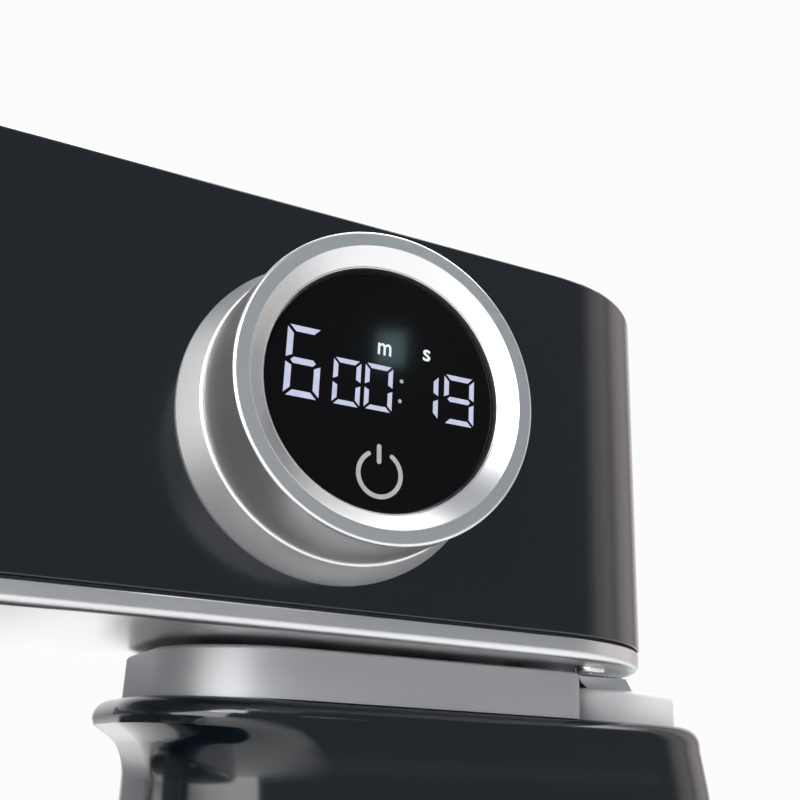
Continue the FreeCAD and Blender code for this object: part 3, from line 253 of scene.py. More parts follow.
def arc(x, y, radius, start, end, steps):
    points = []
    for step in range(steps + 1):
        turn = math.radians(start + (end - start) * step / steps)
        points.append((x + radius * math.cos(turn), y + radius * math.sin(turn)))
    return points


def turned(profile, centre, along, steps=TURN_STEPS):
    """A closed outline of radius and height, drawn point by point and spun about an axis."""
    clear_selection()
    bpy.ops.mesh.primitive_plane_add()
    piece = bpy.context.object
    axis = Vector(along)
    side = Vector((1, 0, 0))
    middle = Vector(centre) * MM

    def spot(point):
        return middle + side * point[0] * MM + axis * point[1] * MM

    edit(piece)
    bpy.ops.mesh.select_mode(type="VERT")
    bpy.ops.mesh.select_all(action="SELECT")
    bpy.ops.mesh.merge(type="CENTER")
    first = spot(profile[0])
    bpy.ops.transform.translate(value=first)
    here = first
    for point in profile[1:]:
        there = spot(point)
        bpy.ops.mesh.extrude_region_move(TRANSFORM_OT_translate={"value": there - here})
        here = there
    if profile[0][0] > ON_AXIS or profile[-1][0] > ON_AXIS:
        pick(piece, "VERT", lambda end: min((end.co - first).length, (end.co - here).length) < SAME_POINT)
        bpy.ops.mesh.edge_face_add()
    bpy.ops.mesh.select_mode(type="VERT")
    bpy.ops.mesh.select_all(action="SELECT")
    bpy.ops.mesh.spin(steps=steps, angle=2 * math.pi, center=middle, axis=axis)
    bpy.ops.mesh.select_all(action="SELECT")
    bpy.ops.mesh.remove_doubles(threshold=WELD)
    bpy.ops.mesh.normals_make_consistent(inside=False)
    leave_edit()
    smooth(piece, TURNED_ANGLE)
    return piece


def crisp_copy(node, bevel, steps):
    """A copy of a CAD piece with its facets merged and its edges broken."""
    source = frame["nodes"][node]
    copied = source.data.copy()
    copied.transform(source.matrix_world)
    piece = bpy.data.objects.new(node + "_shown", copied)
    bpy.context.scene.collection.objects.link(piece)
    edit(piece)
    bpy.ops.mesh.select_all(action="SELECT")
    bpy.ops.mesh.remove_doubles(threshold=COPY_WELD)
    bpy.ops.mesh.dissolve_limited(angle_limit=math.radians(MERGE_ANGLE))
    bpy.ops.mesh.normals_make_consistent(inside=False)
    leave_edit()
    if bevel:
        use(piece, "BEVEL", width=bevel * MM, segments=steps, limit_method="ANGLE",
            angle_limit=math.radians(BROKEN_EDGE_ANGLE), use_clamp_overlap=True, harden_normals=False)
    smooth(piece)
    return piece


# finishes

TONE_LOW = 0.3
TONE_HIGH = 0.7
LACQUER_IOR = 1.57
GLASS_IOR = 1.22
GLOW_LOW = 0.82
GLOW_HIGH = 1.12


def finish_nodes(name, colour, rough, metal=0.0):
    paint = bpy.data.materials.new(name)
    paint.use_nodes = True
    tree = paint.node_tree
    shader = tree.nodes["Principled BSDF"]
    shader.inputs["Base Color"].default_value = (*colour, 1)
    shader.inputs["Roughness"].default_value = rough
    shader.inputs["Metallic"].default_value = metal
    return paint, tree, shader


def grain(tree, scale, stretch=(1, 1, 1), detail=4.0):
    place = tree.nodes.new("ShaderNodeTexCoord")
    mapping = tree.nodes.new("ShaderNodeMapping")
    mapping.inputs["Scale"].default_value = stretch
    noise = tree.nodes.new("ShaderNodeTexNoise")
    noise.inputs["Scale"].default_value = scale
    noise.inputs["Detail"].default_value = detail
    tree.links.new(place.outputs["Object"], mapping.inputs["Vector"])
    tree.links.new(mapping.outputs["Vector"], noise.inputs["Vector"])
    return noise


def vary_value(tree, noise, low, high, target):
    """Lets the grain move one input of the shader between two values."""
    spread = tree.nodes.new("ShaderNodeMapRange")
    spread.inputs["To Min"].default_value = low
    spread.inputs["To Max"].default_value = high
    tree.links.new(noise.outputs["Fac"], spread.inputs["Value"])
    tree.links.new(spread.outputs["Result"], target)


def vary_colour(tree, shader, noise, dark, light):
    ramp = tree.nodes.new("ShaderNodeValToRGB")
    ramp.color_ramp.elements[0].position = TONE_LOW
    ramp.color_ramp.elements[0].color = (*dark, 1)
    ramp.color_ramp.elements[1].position = TONE_HIGH
    ramp.color_ramp.elements[1].color = (*light, 1)
    tree.links.new(noise.outputs["Fac"], ramp.inputs["Fac"])
    tree.links.new(ramp.outputs["Color"], shader.inputs["Base Color"])


def raise_grain(tree, shader, noise, strength, depth):
    bump = tree.nodes.new("ShaderNodeBump")
    bump.inputs["Strength"].default_value = strength
    bump.inputs["Distance"].default_value = depth
    tree.links.new(noise.outputs["Fac"], bump.inputs["Height"])
    tree.links.new(bump.outputs["Normal"], shader.inputs["Normal"])


def shade(colour, factor):
    return tuple(channel * factor for channel in colour)


def plain_finish(name, colour, rough, metal, scale, spread, tone, strength, depth, stretch=(1, 1, 1)):
    """A finish whose grain moves its roughness by spread and its colour by tone, and stands up a little."""
    paint, tree, shader = finish_nodes(name, colour, rough, metal)
    noise = grain(tree, scale, stretch)
    vary_value(tree, noise, rough - spread, rough + spread, shader.inputs["Roughness"])
    vary_colour(tree, shader, noise, shade(colour, 1 - tone), shade(colour, 1 + tone))
    raise_grain(tree, shader, noise, strength, depth)
    return paint


def gloss_black():
    paint, tree, shader = finish_nodes("gloss_black_lacquer", (0.0020, 0.0042, 0.0070), rough=0.12)
    slow = grain(tree, scale=260, detail=2.0)
    vary_value(tree, slow, low=0.10, high=0.15, target=shader.inputs["Roughness"])
    raise_grain(tree, shader, slow, strength=0.012, depth=0.0004)
    shader.inputs["IOR"].default_value = LACQUER_IOR
    return paint


def digit_light(name, colour):
    paint, tree, shader = finish_nodes(name, (0.02, 0.02, 0.02), rough=0.4)
    noise = grain(tree, scale=700, detail=2.0)
    shader.inputs["Emission Color"].default_value = (*colour, 1)
    vary_value(tree, noise, GLOW_LOW, GLOW_HIGH, shader.inputs["Emission Strength"])
    return paint


def display_black():
    paint, tree, shader = finish_nodes("display_glass_black", (0.0022, 0.0022, 0.0026), rough=0.06)
    noise = grain(tree, scale=180, detail=1.0)
    vary_value(tree, noise, low=0.05, high=0.08, target=shader.inputs["Roughness"])
    shader.inputs["IOR"].default_value = GLASS_IOR
    return paint


PAINT = {
    "black_gloss": gloss_black(),
    "silver_satin": plain_finish("satin_silver", (0.66, 0.665, 0.675), rough=0.33, metal=1.0, scale=9000,
                                 spread=0.05, tone=0.06, strength=0.05, depth=0.00003),
    "knob_silver": plain_finish("blasted_silver", (0.73, 0.73, 0.735), rough=0.33, metal=1.0, scale=8000,
                                spread=0.05, tone=0.07, strength=0.10, depth=0.00005),
    "display_glass": display_black(),
    "soft_black": plain_finish("soft_rubber", (0.018, 0.018, 0.019), rough=0.72, metal=0.0, scale=1600,
                               spread=0.08, tone=0.15, strength=0.25, depth=0.0002),
    "black_plastic": plain_finish("matt_black_plastic", (0.022, 0.022, 0.024), rough=0.5, metal=0.0,
                                  scale=2400, spread=0.06, tone=0.12, strength=0.2, depth=0.0001),
    "board_green": plain_finish("circuit_board", (0.03, 0.15, 0.07), rough=0.4, metal=0.0, scale=500,
                                spread=0.06, tone=0.2, strength=0.05, depth=0.0001),
    "grey_plastic": plain_finish("grey_plastic", (0.33, 0.34, 0.35), rough=0.42, metal=0.0, scale=1800,
                                 spread=0.06, tone=0.06, strength=0.1, depth=0.0001),
    "steel": plain_finish("ground_steel", (0.56, 0.57, 0.58), rough=0.24, metal=1.0, scale=2600,
                          spread=0.06, tone=0.06, strength=0.05, depth=0.0001),
    "bowl_steel": plain_finish("brushed_bowl_steel", (0.66, 0.66, 0.66), rough=0.2, metal=1.0, scale=120,
                               spread=0.06, tone=0.05, strength=0.03, depth=0.0002,
                               stretch=(0.15, 0.15, 45)),
    "iron": plain_finish("dull_iron", (0.11, 0.11, 0.11), rough=0.55, metal=0.8, scale=1200,
                         spread=0.08, tone=0.15, strength=0.2, depth=0.0002),
    "copper": plain_finish("copper_wire", (0.62, 0.30, 0.15), rough=0.32, metal=1.0, scale=2200,
                           spread=0.08, tone=0.12, strength=0.2, depth=0.0002),
    "bronze": plain_finish("dull_bronze", (0.50, 0.36, 0.18), rough=0.38, metal=1.0, scale=1500,
                           spread=0.08, tone=0.1, strength=0.15, depth=0.0001),
    "cast_light": plain_finish("cast_aluminium", (0.55, 0.56, 0.57), rough=0.4, metal=1.0, scale=1400,
                               spread=0.08, tone=0.08, strength=0.2, depth=0.00015),
}
# painted light: a lighter, rougher copy of the knob silver, so the flange shows brighter than the knob ring
# of the same metal
FLANGE_SILVER_PAINTED_LIGHT = plain_finish("flange_silver_painted_light", (0.80, 0.805, 0.815), rough=0.46, metal=1.0, scale=8000,
                             spread=0.05, tone=0.06, strength=0.10, depth=0.00005)
# painted shade: a darker copy of the satin silver, so the neck looks dimmer than the tray of the same metal
NECK_SILVER_PAINTED_SHADE = plain_finish("neck_silver_painted_shade", (0.38, 0.385, 0.40), rough=0.46, metal=0.66, scale=9000,
                           spread=0.05, tone=0.06, strength=0.05, depth=0.00003)
# painted light: a much lighter copy of the satin silver, standing in for the bright reflection on the hinge
# block
HINGE_SILVER_PAINTED_LIGHT = plain_finish("hinge_silver_painted_light", (0.86, 0.865, 0.87), rough=0.40, metal=0.15, scale=9000,
                            spread=0.05, tone=0.05, strength=0.05, depth=0.00003)
DIGIT_LIGHT = digit_light("digit_light", (0.56, 0.58, 0.78))
LETTER_LIGHT = digit_light("letter_light", (0.86, 0.90, 0.92))
SYMBOL_LIGHT = digit_light("symbol_light", (0.44, 0.42, 0.40))


# head

HEAD_LOW = 225
HEAD_TOP = 318
HEAD_CORNER_STEPS = 48
HEAD_WALL = 2.8
TRAY_LOW = 219.6
TRAY_TOP = 224.4
TRAY_WALL = 2.4
UNDER_TRAY = 217
ABOVE_TRAY_FLOOR = 224
VENT_FRONT = -45
VENT_REAR = -24
VENT_PITCH = 6
VENT_HALF = 1.3
VENTS_EACH_SIDE = 5
SPINDLE_HOLE = 20
BOWL_X = -90
SCREW_BEVEL = 0.2
SCREW_STEPS = 2
TRAY_SCREWS = [(-150, 30), (-36, 46), (140, 38)]
TRAY_SLOT_TOP = 219.1


def make_head_cover():
    piece = plate(front=-178, rear=167.2, half=54, front_round=50, rear_round=47,
                  z_low=HEAD_LOW, z_high=HEAD_TOP, steps=HEAD_CORNER_STEPS)
    soften(piece, HEAD_TOP, radius=1.6, steps=6)
    soften(piece, HEAD_LOW, radius=0.5, steps=3)
    hollow_out(piece, HEAD_LOW, HEAD_WALL)
    smooth(piece)
    finish_piece(piece, "head_cover_shell", "head", "black_gloss", PAINT["black_gloss"], "head_cover")


def make_head_tray():
    piece = plate(front=-177.7, rear=166.9, half=53.7, front_round=49.7, rear_round=46.7,
                  z_low=TRAY_LOW, z_high=TRAY_TOP, steps=HEAD_CORNER_STEPS)
    soften(piece, TRAY_LOW, radius=2.0, steps=6)
    soften(piece, TRAY_TOP, radius=0.4, steps=3)
    hollow_out(piece, TRAY_TOP, TRAY_WALL)
    for number in range(-VENTS_EACH_SIDE, VENTS_EACH_SIDE + 1):
        middle = number * VENT_PITCH
        cut_away(piece, box_tool(VENT_FRONT, VENT_REAR, middle - VENT_HALF, middle + VENT_HALF,
                                 UNDER_TRAY, ABOVE_TRAY_FLOOR))
    cut_away(piece, round_tool(SPINDLE_HOLE, BOWL_X, 0, UNDER_TRAY, ABOVE_TRAY_FLOOR))
    smooth(piece)
    finish_piece(piece, "head_tray_pan", "head", "silver_satin", PAINT["silver_satin"], "head_tray")


def make_tray_screws():
    piece = crisp_copy("tray_screws", SCREW_BEVEL, SCREW_STEPS)
    cut_crosses(piece, TRAY_SCREWS, reach=2.1, half=0.4, z_low=UNDER_TRAY, z_high=TRAY_SLOT_TOP)
    smooth(piece)
    finish_piece(piece, "tray_screws_shown", "head", "steel", PAINT["steel"], "tray_screws")


# stand

# each section of the column: height, front, rear, half width, front corner and rear corner
COLUMN = [
    (34, -2, 194.5, 78, 44, 52),
    (52, 13, 193, 68, 42, 48),
    (80, 25, 192, 58, 38, 42),
    (120, 33, 191.5, 51, 35, 38),
    (160, 36.5, 191, 46.5, 34, 36),
    (188.9, 37.3, 190.5, 44, 33, 35),
    (196.9, 34.8, 189, 44, 33, 35),
    (201.4, 28.3, 188, 44, 33, 35),
]
LEVELS_BETWEEN = 10
CORNER_STEPS = 28
CORNERS = 4
DECK_TOP = 206.9
DECK_EDGE = 4.4
DECK_EDGE_STEPS = 8
FOOT_LOW = 5
FOOT_TOP = 40
FOOT_WALL = 2.2
FOOT_RECESS = 3.4
NECK_TOP = 218
NECK_WALL = 2.8
BLOCK_TOP = 215.6
BASE_SCREWS = [(-150, 48), (30, 84), (165, 60)]


def column_level(low, high, before, after, share):
    """One level between two sections, on a smooth curve through the sections around them."""
    square = share * share
    cube = square * share
    span = high[0] - low[0]
    values = []
    for start, end, earlier, later in zip(low, high, before, after):
        leaving = (end - earlier) / (high[0] - before[0]) * span
        arriving = (later - start) / (after[0] - low[0]) * span
        value = (2 * cube - 3 * square + 1) * start + (cube - 2 * square + share) * leaving
        values.append(value + (3 * square - 2 * cube) * end + (cube - square) * arriving)
    return values


def outline(front, rear, half, front_round, rear_round):
    front_x, front_y = front + front_round, half - front_round
    rear_x, rear_y = rear - rear_round, half - rear_round
    points = arc(rear_x, rear_y, rear_round, 0, 90, CORNER_STEPS)
    points += arc(front_x, front_y, front_round, 90, 180, CORNER_STEPS)
    points += arc(front_x, -front_y, front_round, 180, 270, CORNER_STEPS)
    points += arc(rear_x, -rear_y, rear_round, 270, 360, CORNER_STEPS)
    return points


def column_levels():
    """All the levels of the column, from the foot up over the rounded edge of the deck."""
    last = len(COLUMN) - 1
    levels = []
    for index in range(last):
        before = COLUMN[max(index - 1, 0)]
        after = COLUMN[min(index + 2, last)]
        for step in range(LEVELS_BETWEEN):
            share = step / LEVELS_BETWEEN
            levels.append(column_level(COLUMN[index], COLUMN[index + 1], before, after, share))
    _, front, rear, half, front_round, rear_round = COLUMN[last]
    for step in range(DECK_EDGE_STEPS + 1):
        turn = math.radians(90 * step / DECK_EDGE_STEPS)
        inset = DECK_EDGE * (1 - math.cos(turn))
        height = DECK_TOP - DECK_EDGE + DECK_EDGE * math.sin(turn)
        levels.append([height, front + inset, rear - inset, half - inset,
                       front_round - inset, rear_round - inset])
    return levels


def make_column():
    levels = column_levels()
    around = CORNERS * (CORNER_STEPS + 1)
    corners, faces = [], []
    for height, *sizes in levels:
        for x, y in outline(*sizes):
            corners.append((x * MM, y * MM, height * MM))
    for row in range(len(levels) - 1):
        for step in range(around):
            here = row * around + step
            there = row * around + (step + 1) % around
            faces.append((here, there, there + around, here + around))
    faces.append(tuple(range(around))[::-1])
    faces.append(tuple(range((len(levels) - 1) * around, len(levels) * around)))
    mesh = bpy.data.meshes.new("column")
    mesh.from_pydata(corners, [], faces)
    piece = bpy.data.objects.new("column", mesh)
    bpy.context.scene.collection.objects.link(piece)
    face_out(piece)
    return piece


def make_stand():
    piece = plate(front=-207, rear=204, half=100, front_round=90, rear_round=60,
                  z_low=FOOT_LOW, z_high=FOOT_TOP, steps=40)
    soften(piece, FOOT_TOP, radius=9.0, steps=10)
    soften(piece, FOOT_LOW, radius=1.0, steps=3)
    pick_flat(piece, FOOT_LOW)
    bpy.ops.mesh.inset(thickness=FOOT_WALL * MM)
    bpy.ops.mesh.extrude_region_move(TRANSFORM_OT_translate={"value": (0, 0, FOOT_RECESS * MM)})
    leave_edit()
    combine(piece, "UNION", [make_column()])
    cut_both_sides(piece, x_low=158.5, x_high=173.5, y_near=11.4, y_far=20.6, z_low=203.5, z_high=208)
    smooth(piece, STAND_ANGLE)
    finish_piece(piece, "stand_body", "stand", "black_gloss", PAINT["black_gloss"], "stand_shell")


def make_neck():
    piece = plate(front=35.5, rear=137, half=41, front_round=28, rear_round=5,
                  z_low=DECK_TOP, z_high=NECK_TOP, steps=32)
    soften(piece, NECK_TOP, radius=1.0, steps=5)
    hollow_out(piece, DECK_TOP, NECK_WALL)
    lock_window = box_tool(x_low=66.4, x_high=89.6, y_low=36, y_high=43, z_low=209.5, z_high=214.6)
    catch_slot = box_tool(x_low=86, x_high=98, y_low=19, y_high=33, z_low=213, z_high=219)
    cut_away(piece, lock_window, catch_slot)
    smooth(piece)
    # the neck takes the darker copy of the satin silver, which is painted shade
    finish_piece(piece, "neck_collar_shell", "stand", "silver_satin", NECK_SILVER_PAINTED_SHADE, "neck_collar")


def make_hinge_block():
    piece = plate(front=142, rear=186.5, half=30, front_round=8, rear_round=26,
                  z_low=DECK_TOP, z_high=BLOCK_TOP, steps=28)
    soften(piece, BLOCK_TOP, radius=1.8, steps=6)
    cut_both_sides(piece, x_low=150.5, x_high=174, y_near=11.5, y_far=20.5, z_low=205, z_high=217)
    smooth(piece)
    # the hinge block takes the lighter copy of the satin silver, which is painted light
    finish_piece(piece, "hinge_block_shown", "stand", "silver_satin", HINGE_SILVER_PAINTED_LIGHT, "hinge_block")


def make_base_screws():
    piece = crisp_copy("base_screws", SCREW_BEVEL, SCREW_STEPS)
    cut_crosses(piece, BASE_SCREWS, reach=2.3, half=0.45, z_low=4, z_high=6)
    smooth(piece)
    finish_piece(piece, "base_screws_shown", "stand", "steel", PAINT["steel"], "base_screws")


# knob and display, turned about the knob axis, heights out from the side of the head

KNOB_X = 61.5
KNOB_Y = -54
KNOB_Z = 266.6
KNOB_CENTRE = (KNOB_X, KNOB_Y, KNOB_Z)
OUTWARD = (0, -1, 0)
GLASS_FRONT = 24.2
GLASS_BACK = 22.4
GLASS_RADIUS = 25.6
GLASS_EDGE = 0.4
MARK_LIFT = 0.04
MARK_THICK = 0.03
# the knob ring: a sleeve round the display, a skirt outside it, and a dished face between them
SLEEVE_INNER = 25.3
SLEEVE_OUTER = 27.5
SLEEVE_LOW = 4
SLEEVE_TOP = 23.6
FACE_INNER = 29.9
FACE_UNDER = 26.4
SKIRT_INNER_TOP = 31.2
SKIRT_INNER_LOW = 31.7
SKIRT_OUTER = 33.1
SKIRT_LOW = 9.9
DISH_FOOT = (26.42, 25.58)
DISH_BORE = 26
DISH_BORE_LOW = 20.5
# the flange behind it, which narrows towards its front
FLANGE_INNER = 34.6
FLANGE_OUTER = 36.8
FLANGE_FRONT_INNER = 31.9
FLANGE_BORE = 29.2
FLANGE_FRONT = 9.4
FLANGE_LIP_BACK = 7.6


def make_knob_ring():
    profile = [
        (SLEEVE_INNER, SLEEVE_LOW), (SLEEVE_OUTER, SLEEVE_LOW), (SLEEVE_OUTER, SLEEVE_TOP),
        (FACE_INNER, FACE_UNDER), (SKIRT_INNER_TOP, FACE_UNDER), (SKIRT_INNER_LOW, SKIRT_LOW),
        (SKIRT_OUTER, SKIRT_LOW),
    ]
    profile += arc(x=33.1, y=10.3, radius=0.4, start=-60, end=0, steps=4)
    profile += arc(x=32.25, y=27.75, radius=0.75, start=2, end=90, steps=8)
    profile += arc(x=30.0, y=27.98, radius=0.5, start=95, end=129, steps=4)
    profile += [DISH_FOOT]
    profile += arc(x=26.25, y=25.3, radius=0.25, start=60, end=180, steps=4)
    profile += [(DISH_BORE, DISH_BORE_LOW), (SLEEVE_INNER, DISH_BORE_LOW)]
    piece = turned(profile, KNOB_CENTRE, OUTWARD)
    finish_piece(piece, "knob_ring_shown", "knob", "knob_silver", PAINT["knob_silver"], "knob_ring")


def make_knob_flange():
    profile = [(FLANGE_INNER, 0), (FLANGE_OUTER, 0)]
    profile += arc(x=36.3, y=0.9, radius=0.5, start=0, end=20, steps=3)
    profile += arc(x=33.4, y=8.7, radius=0.7, start=18, end=90, steps=8)
    profile += [(FLANGE_BORE, FLANGE_FRONT), (FLANGE_BORE, FLANGE_LIP_BACK)]
    profile += [(FLANGE_FRONT_INNER, FLANGE_LIP_BACK)]
    piece = turned(profile, KNOB_CENTRE, OUTWARD)
    # the flange takes the lighter copy of the knob silver, which is painted light
    finish_piece(piece, "knob_flange_shown", "head", "knob_silver", FLANGE_SILVER_PAINTED_LIGHT, "knob_flange")


def make_display_glass():
    profile = [(0, GLASS_BACK), (GLASS_RADIUS, GLASS_BACK)]
    profile += arc(GLASS_RADIUS - GLASS_EDGE, GLASS_FRONT - GLASS_EDGE, GLASS_EDGE, 0, 90, 5)
    profile += [(0, GLASS_FRONT)]
    piece = turned(profile, KNOB_CENTRE, OUTWARD, GLASS_STEPS)
    finish_piece(piece, "display_window", "head", "display_glass", PAINT["display_glass"], "display_glass")


def on_glass(right, up):
    """A place on the face of the glass, right and up from the knob axis in millimetres."""
    return (KNOB_X + right) * MM, (KNOB_Y - GLASS_FRONT - MARK_LIFT) * MM, (KNOB_Z + up) * MM


def flat_mark(points):
    """A thin raised shape on the glass. Points are right and up from the knob axis, in millimetres."""
    clear_selection()
    bpy.ops.mesh.primitive_circle_add(vertices=len(points), fill_type="NGON")
    piece = bpy.context.object
    for corner, (right, up) in zip(piece.data.vertices, points):
        corner.co = on_glass(right, up)
    edit(piece)
    bpy.ops.mesh.select_all(action="SELECT")
    bpy.ops.mesh.extrude_region_move(TRANSFORM_OT_translate={"value": (0, MARK_THICK * MM, 0)})
    leave_edit()
    face_out(piece)
    return piece


def gather(marks, name, paint):
    take(marks[0])
    for mark in marks[1:]:
        mark.select_set(True)
    bpy.ops.object.join()
    finish_piece(bpy.context.object, name, "head", "display_glass", paint)


SEGMENTS = {"0": "abcdef", "1": "bc", "6": "acdefg", "9": "abcdfg"}
BAR_GAP = 0.38
# each figure: which one, left, low, width, height and stroke
FIGURES = [
    ("6", -21.4, -5.15, 7.4, 14.9, 1.3),
    ("0", -11.2, -5.05, 6.0, 9.85, 1.0),
    ("0", -4.25, -4.85, 6.2, 9.85, 1.0),
    ("1", 6.2, -4.5, 6.3, 9.9, 1.1),
    ("9", 13.9, -4.7, 7.1, 10.8, 1.1),
]
DOTS = [(3.95, 2.42), (3.75, -1.92)]
DOT_RADIUS = 0.42
DOT_END = 345
DOT_STEPS = 23
# each letter: which one, right, low, height and width
LETTERS = [("m", -1.95, 7.4, 4.3, 0.84), ("s", 8.5, 8.15, 4.2, 1.0)]
LETTER_SIZE = 1.25
LETTER_WEIGHT = 0.06


def digit_bars(figure, left, low, wide, tall, stroke):
    """The bars of one figure. The outer edge of each bar is its long one, and the middle bar is pointed."""
    gap = stroke * BAR_GAP
    right, top = left + wide, low + tall
    middle = low + tall / 2
    half = stroke / 2
    tip_left, tip_right = left + gap * 2, right - gap * 2

    def level(outer, inner):
        return [(left + gap, outer), (right - gap, outer),
                (right - gap - stroke, inner), (left + gap + stroke, inner)]

    def upright(outer, inner, end):
        towards = 1 if middle > end else -1
        return [(outer, end + towards * gap), (outer, middle - towards * gap),
                (inner, middle - towards * (gap + half)), (inner, end + towards * (gap + stroke))]

    bars = {
        "a": level(top, top - stroke),
        "b": upright(right, right - stroke, top),
        "c": upright(right, right - stroke, low),
        "d": level(low, low + stroke),
        "e": upright(left, left + stroke, low),
        "f": upright(left, left + stroke, top),
        "g": [(tip_left, middle), (tip_left + half, middle + half), (tip_right - half, middle + half),
              (tip_right, middle), (tip_right - half, middle - half), (tip_left + half, middle - half)],
    }
    return [bars[letter] for letter in SEGMENTS[figure]]


def make_digits():
    bars = []
    for figure in FIGURES:
        bars += [flat_mark(points) for points in digit_bars(*figure)]
    gather(bars, "display_digits", DIGIT_LIGHT)
    dots = [flat_mark(arc(right, up, DOT_RADIUS, 0, DOT_END, DOT_STEPS)) for right, up in DOTS]
    gather(dots, "display_dots", SYMBOL_LIGHT)


def make_letters():
    marks = []
    for letter, right, low, tall, wide in LETTERS:
        clear_selection()
        bpy.ops.object.text_add(location=(0, 0, 0))
        text = bpy.context.object
        text.data.body = letter
        text.data.size = tall * MM * LETTER_SIZE
        text.data.extrude = MARK_THICK * MM / 2
        text.data.offset = LETTER_WEIGHT * MM
        bpy.ops.object.convert(target="MESH")
        text = bpy.context.object
        text.rotation_euler = (math.radians(90), 0, 0)
        text.scale = (wide, 1, 1)
        text.location = on_glass(right, low)
        settle(text)
        marks.append(text)
    gather(marks, "display_letters", LETTER_LIGHT)


def make_power_symbol():
    outer, inner, lift = 5.1, 4.15, -17.9
    middle = (outer + inner) / 2
    cap = (outer - inner) / 2
    start, end = 124, 417
    ring_steps, cap_steps = 60, 8
    first = (middle * math.cos(math.radians(start)), lift + middle * math.sin(math.radians(start)))
    last = (middle * math.cos(math.radians(end)), lift + middle * math.sin(math.radians(end)))
    ring = arc(0, lift, outer, start, end, ring_steps)
    ring += arc(*last, cap, end, end + 180, cap_steps)[1:-1]
    ring += arc(0, lift, inner, end, start, ring_steps)
    ring += arc(*first, cap, start + 180, start + 360, cap_steps)[1:-1]
    bar_top, bar_low, bar_half = (-0.38, -12.3), (-0.25, -15.4), 0.5
    bar = arc(*bar_top, bar_half, 0, 180, cap_steps) + arc(*bar_low, bar_half, 180, 360, cap_steps)
    gather([flat_mark(ring), flat_mark(bar)], "power_symbol", SYMBOL_LIGHT)


# bowl and tools

BOWL_CENTRE = (BOWL_X, 0, 0)
UPWARD = (0, 0, 1)
BOWL_FLAT = 45
BOWL_CURVE = 54
BOWL_CURVE_Z = 106
BOWL_WALL = 1.2
BOWL_TOP = 180
BOWL_LEAN = 6
BOWL_STEPS = 40
RIM_OUT = 0.2
RIM_RADIUS = 1.8
RIM_START = -56
RIM_END = 263
RIM_STEPS = 24


def make_bowl():
    lean = math.radians(BOWL_LEAN)
    run = (BOWL_TOP - BOWL_CURVE_Z + BOWL_CURVE * math.sin(lean)) * math.tan(lean)
    rim = BOWL_FLAT + BOWL_CURVE * math.cos(lean) + run
    floor = BOWL_CURVE_Z - BOWL_CURVE
    under = floor - BOWL_WALL
    profile = [(0, under), (BOWL_FLAT, under)]
    profile += arc(BOWL_FLAT, BOWL_CURVE_Z, BOWL_CURVE + BOWL_WALL, -90, -BOWL_LEAN, BOWL_STEPS)[1:]
    profile += arc(rim + RIM_OUT, BOWL_TOP, RIM_RADIUS, RIM_START, RIM_END, RIM_STEPS)
    profile += arc(BOWL_FLAT, BOWL_CURVE_Z, BOWL_CURVE, -BOWL_LEAN, -90, BOWL_STEPS)
    profile += [(0, floor)]
    piece = turned(profile, BOWL_CENTRE, UPWARD)
    finish_piece(piece, "mixing_bowl_shown", "bowl", "bowl_steel", PAINT["bowl_steel"], "mixing_bowl")


# pieces shown as the CAD has them: node, body, slot, broken edge and its steps
CRISP = [
    ("flat_beater", "planet", "cast_light", 1.6, 4),
    ("bowl_base_ring", "bowl", "bowl_steel", 0.3, 2),
    ("bowl_seat_ring", "stand", "silver_satin", 0.6, 3),
    ("lock_slider", "lock", "silver_satin", 0.6, 3),
    ("gear_collar", "head", "silver_satin", 0.5, 3),
    ("planet_carrier", "carrier", "cast_light", 0.5, 3),
    ("rubber_feet", "stand", "soft_black", 0.4, 2),
    ("cord_gland", "stand", "black_plastic", 0.4, 2),
    ("hinge_arms", "head", "silver_satin", 0.4, 2),
    ("base_plate", "stand", "black_plastic", 0.3, 2),
    ("head_seal", "head", "soft_black", 0.0, 2),
    ("rest_pads", "stand", "soft_black", 0.3, 2),
    ("tool_shaft", "planet", "steel", 0.4, 2),
    ("drive_pin", "planet", "steel", 0.3, 2),
    ("hinge_pin", "stand", "steel", 0.3, 2),
    ("lock_catch", "head", "steel", 0.3, 2),
]

make_head_cover()
make_head_tray()
make_tray_screws()
make_stand()
make_neck()
make_hinge_block()
make_base_screws()
make_knob_ring()
make_knob_flange()
make_display_glass()
make_digits()
make_letters()
make_power_symbol()
make_bowl()
for node, body, slot, bevel, steps in CRISP:
    finish_piece(crisp_copy(node, bevel, steps), node + "_shown", body, slot, PAINT[slot], node)
for entry in frame["record"]["subparts"]:
    node = frame["nodes"][entry["node"]]
    node.data.materials.clear()
    node.data.materials.append(PAINT[entry["material_slot"]])


# studio, with floor and lights in metres and watts

FLOOR_SIZE = 8
# the room: bearing in degrees from straight behind the knob side, towards the rear of the mixer, and colour
ROOM = [
    (-180, (0.29, 0.305, 0.33)), (-150, (0.26, 0.275, 0.30)), (-105, (0.26, 0.27, 0.30)),
    (-66, (0.24, 0.26, 0.29)), (-14, (0.30, 0.32, 0.35)), (-5, (0.97, 0.97, 0.98)),
    (50, (0.97, 0.97, 0.98)), (54, (0.92, 0.88, 0.85)), (59, (0.72, 0.66, 0.64)),
    (63, (0.44, 0.39, 0.38)), (70, (0.80, 0.73, 0.71)), (80, (1.00, 0.92, 0.90)),
    (87, (1.00, 0.95, 0.93)), (95, (0.62, 0.57, 0.56)), (103, (1.00, 0.95, 0.93)),
    (114, (0.86, 0.82, 0.81)), (119, (0.50, 0.48, 0.48)), (125, (0.26, 0.27, 0.28)),
    (140, (0.29, 0.305, 0.325)), (180, (0.29, 0.305, 0.33)),
]
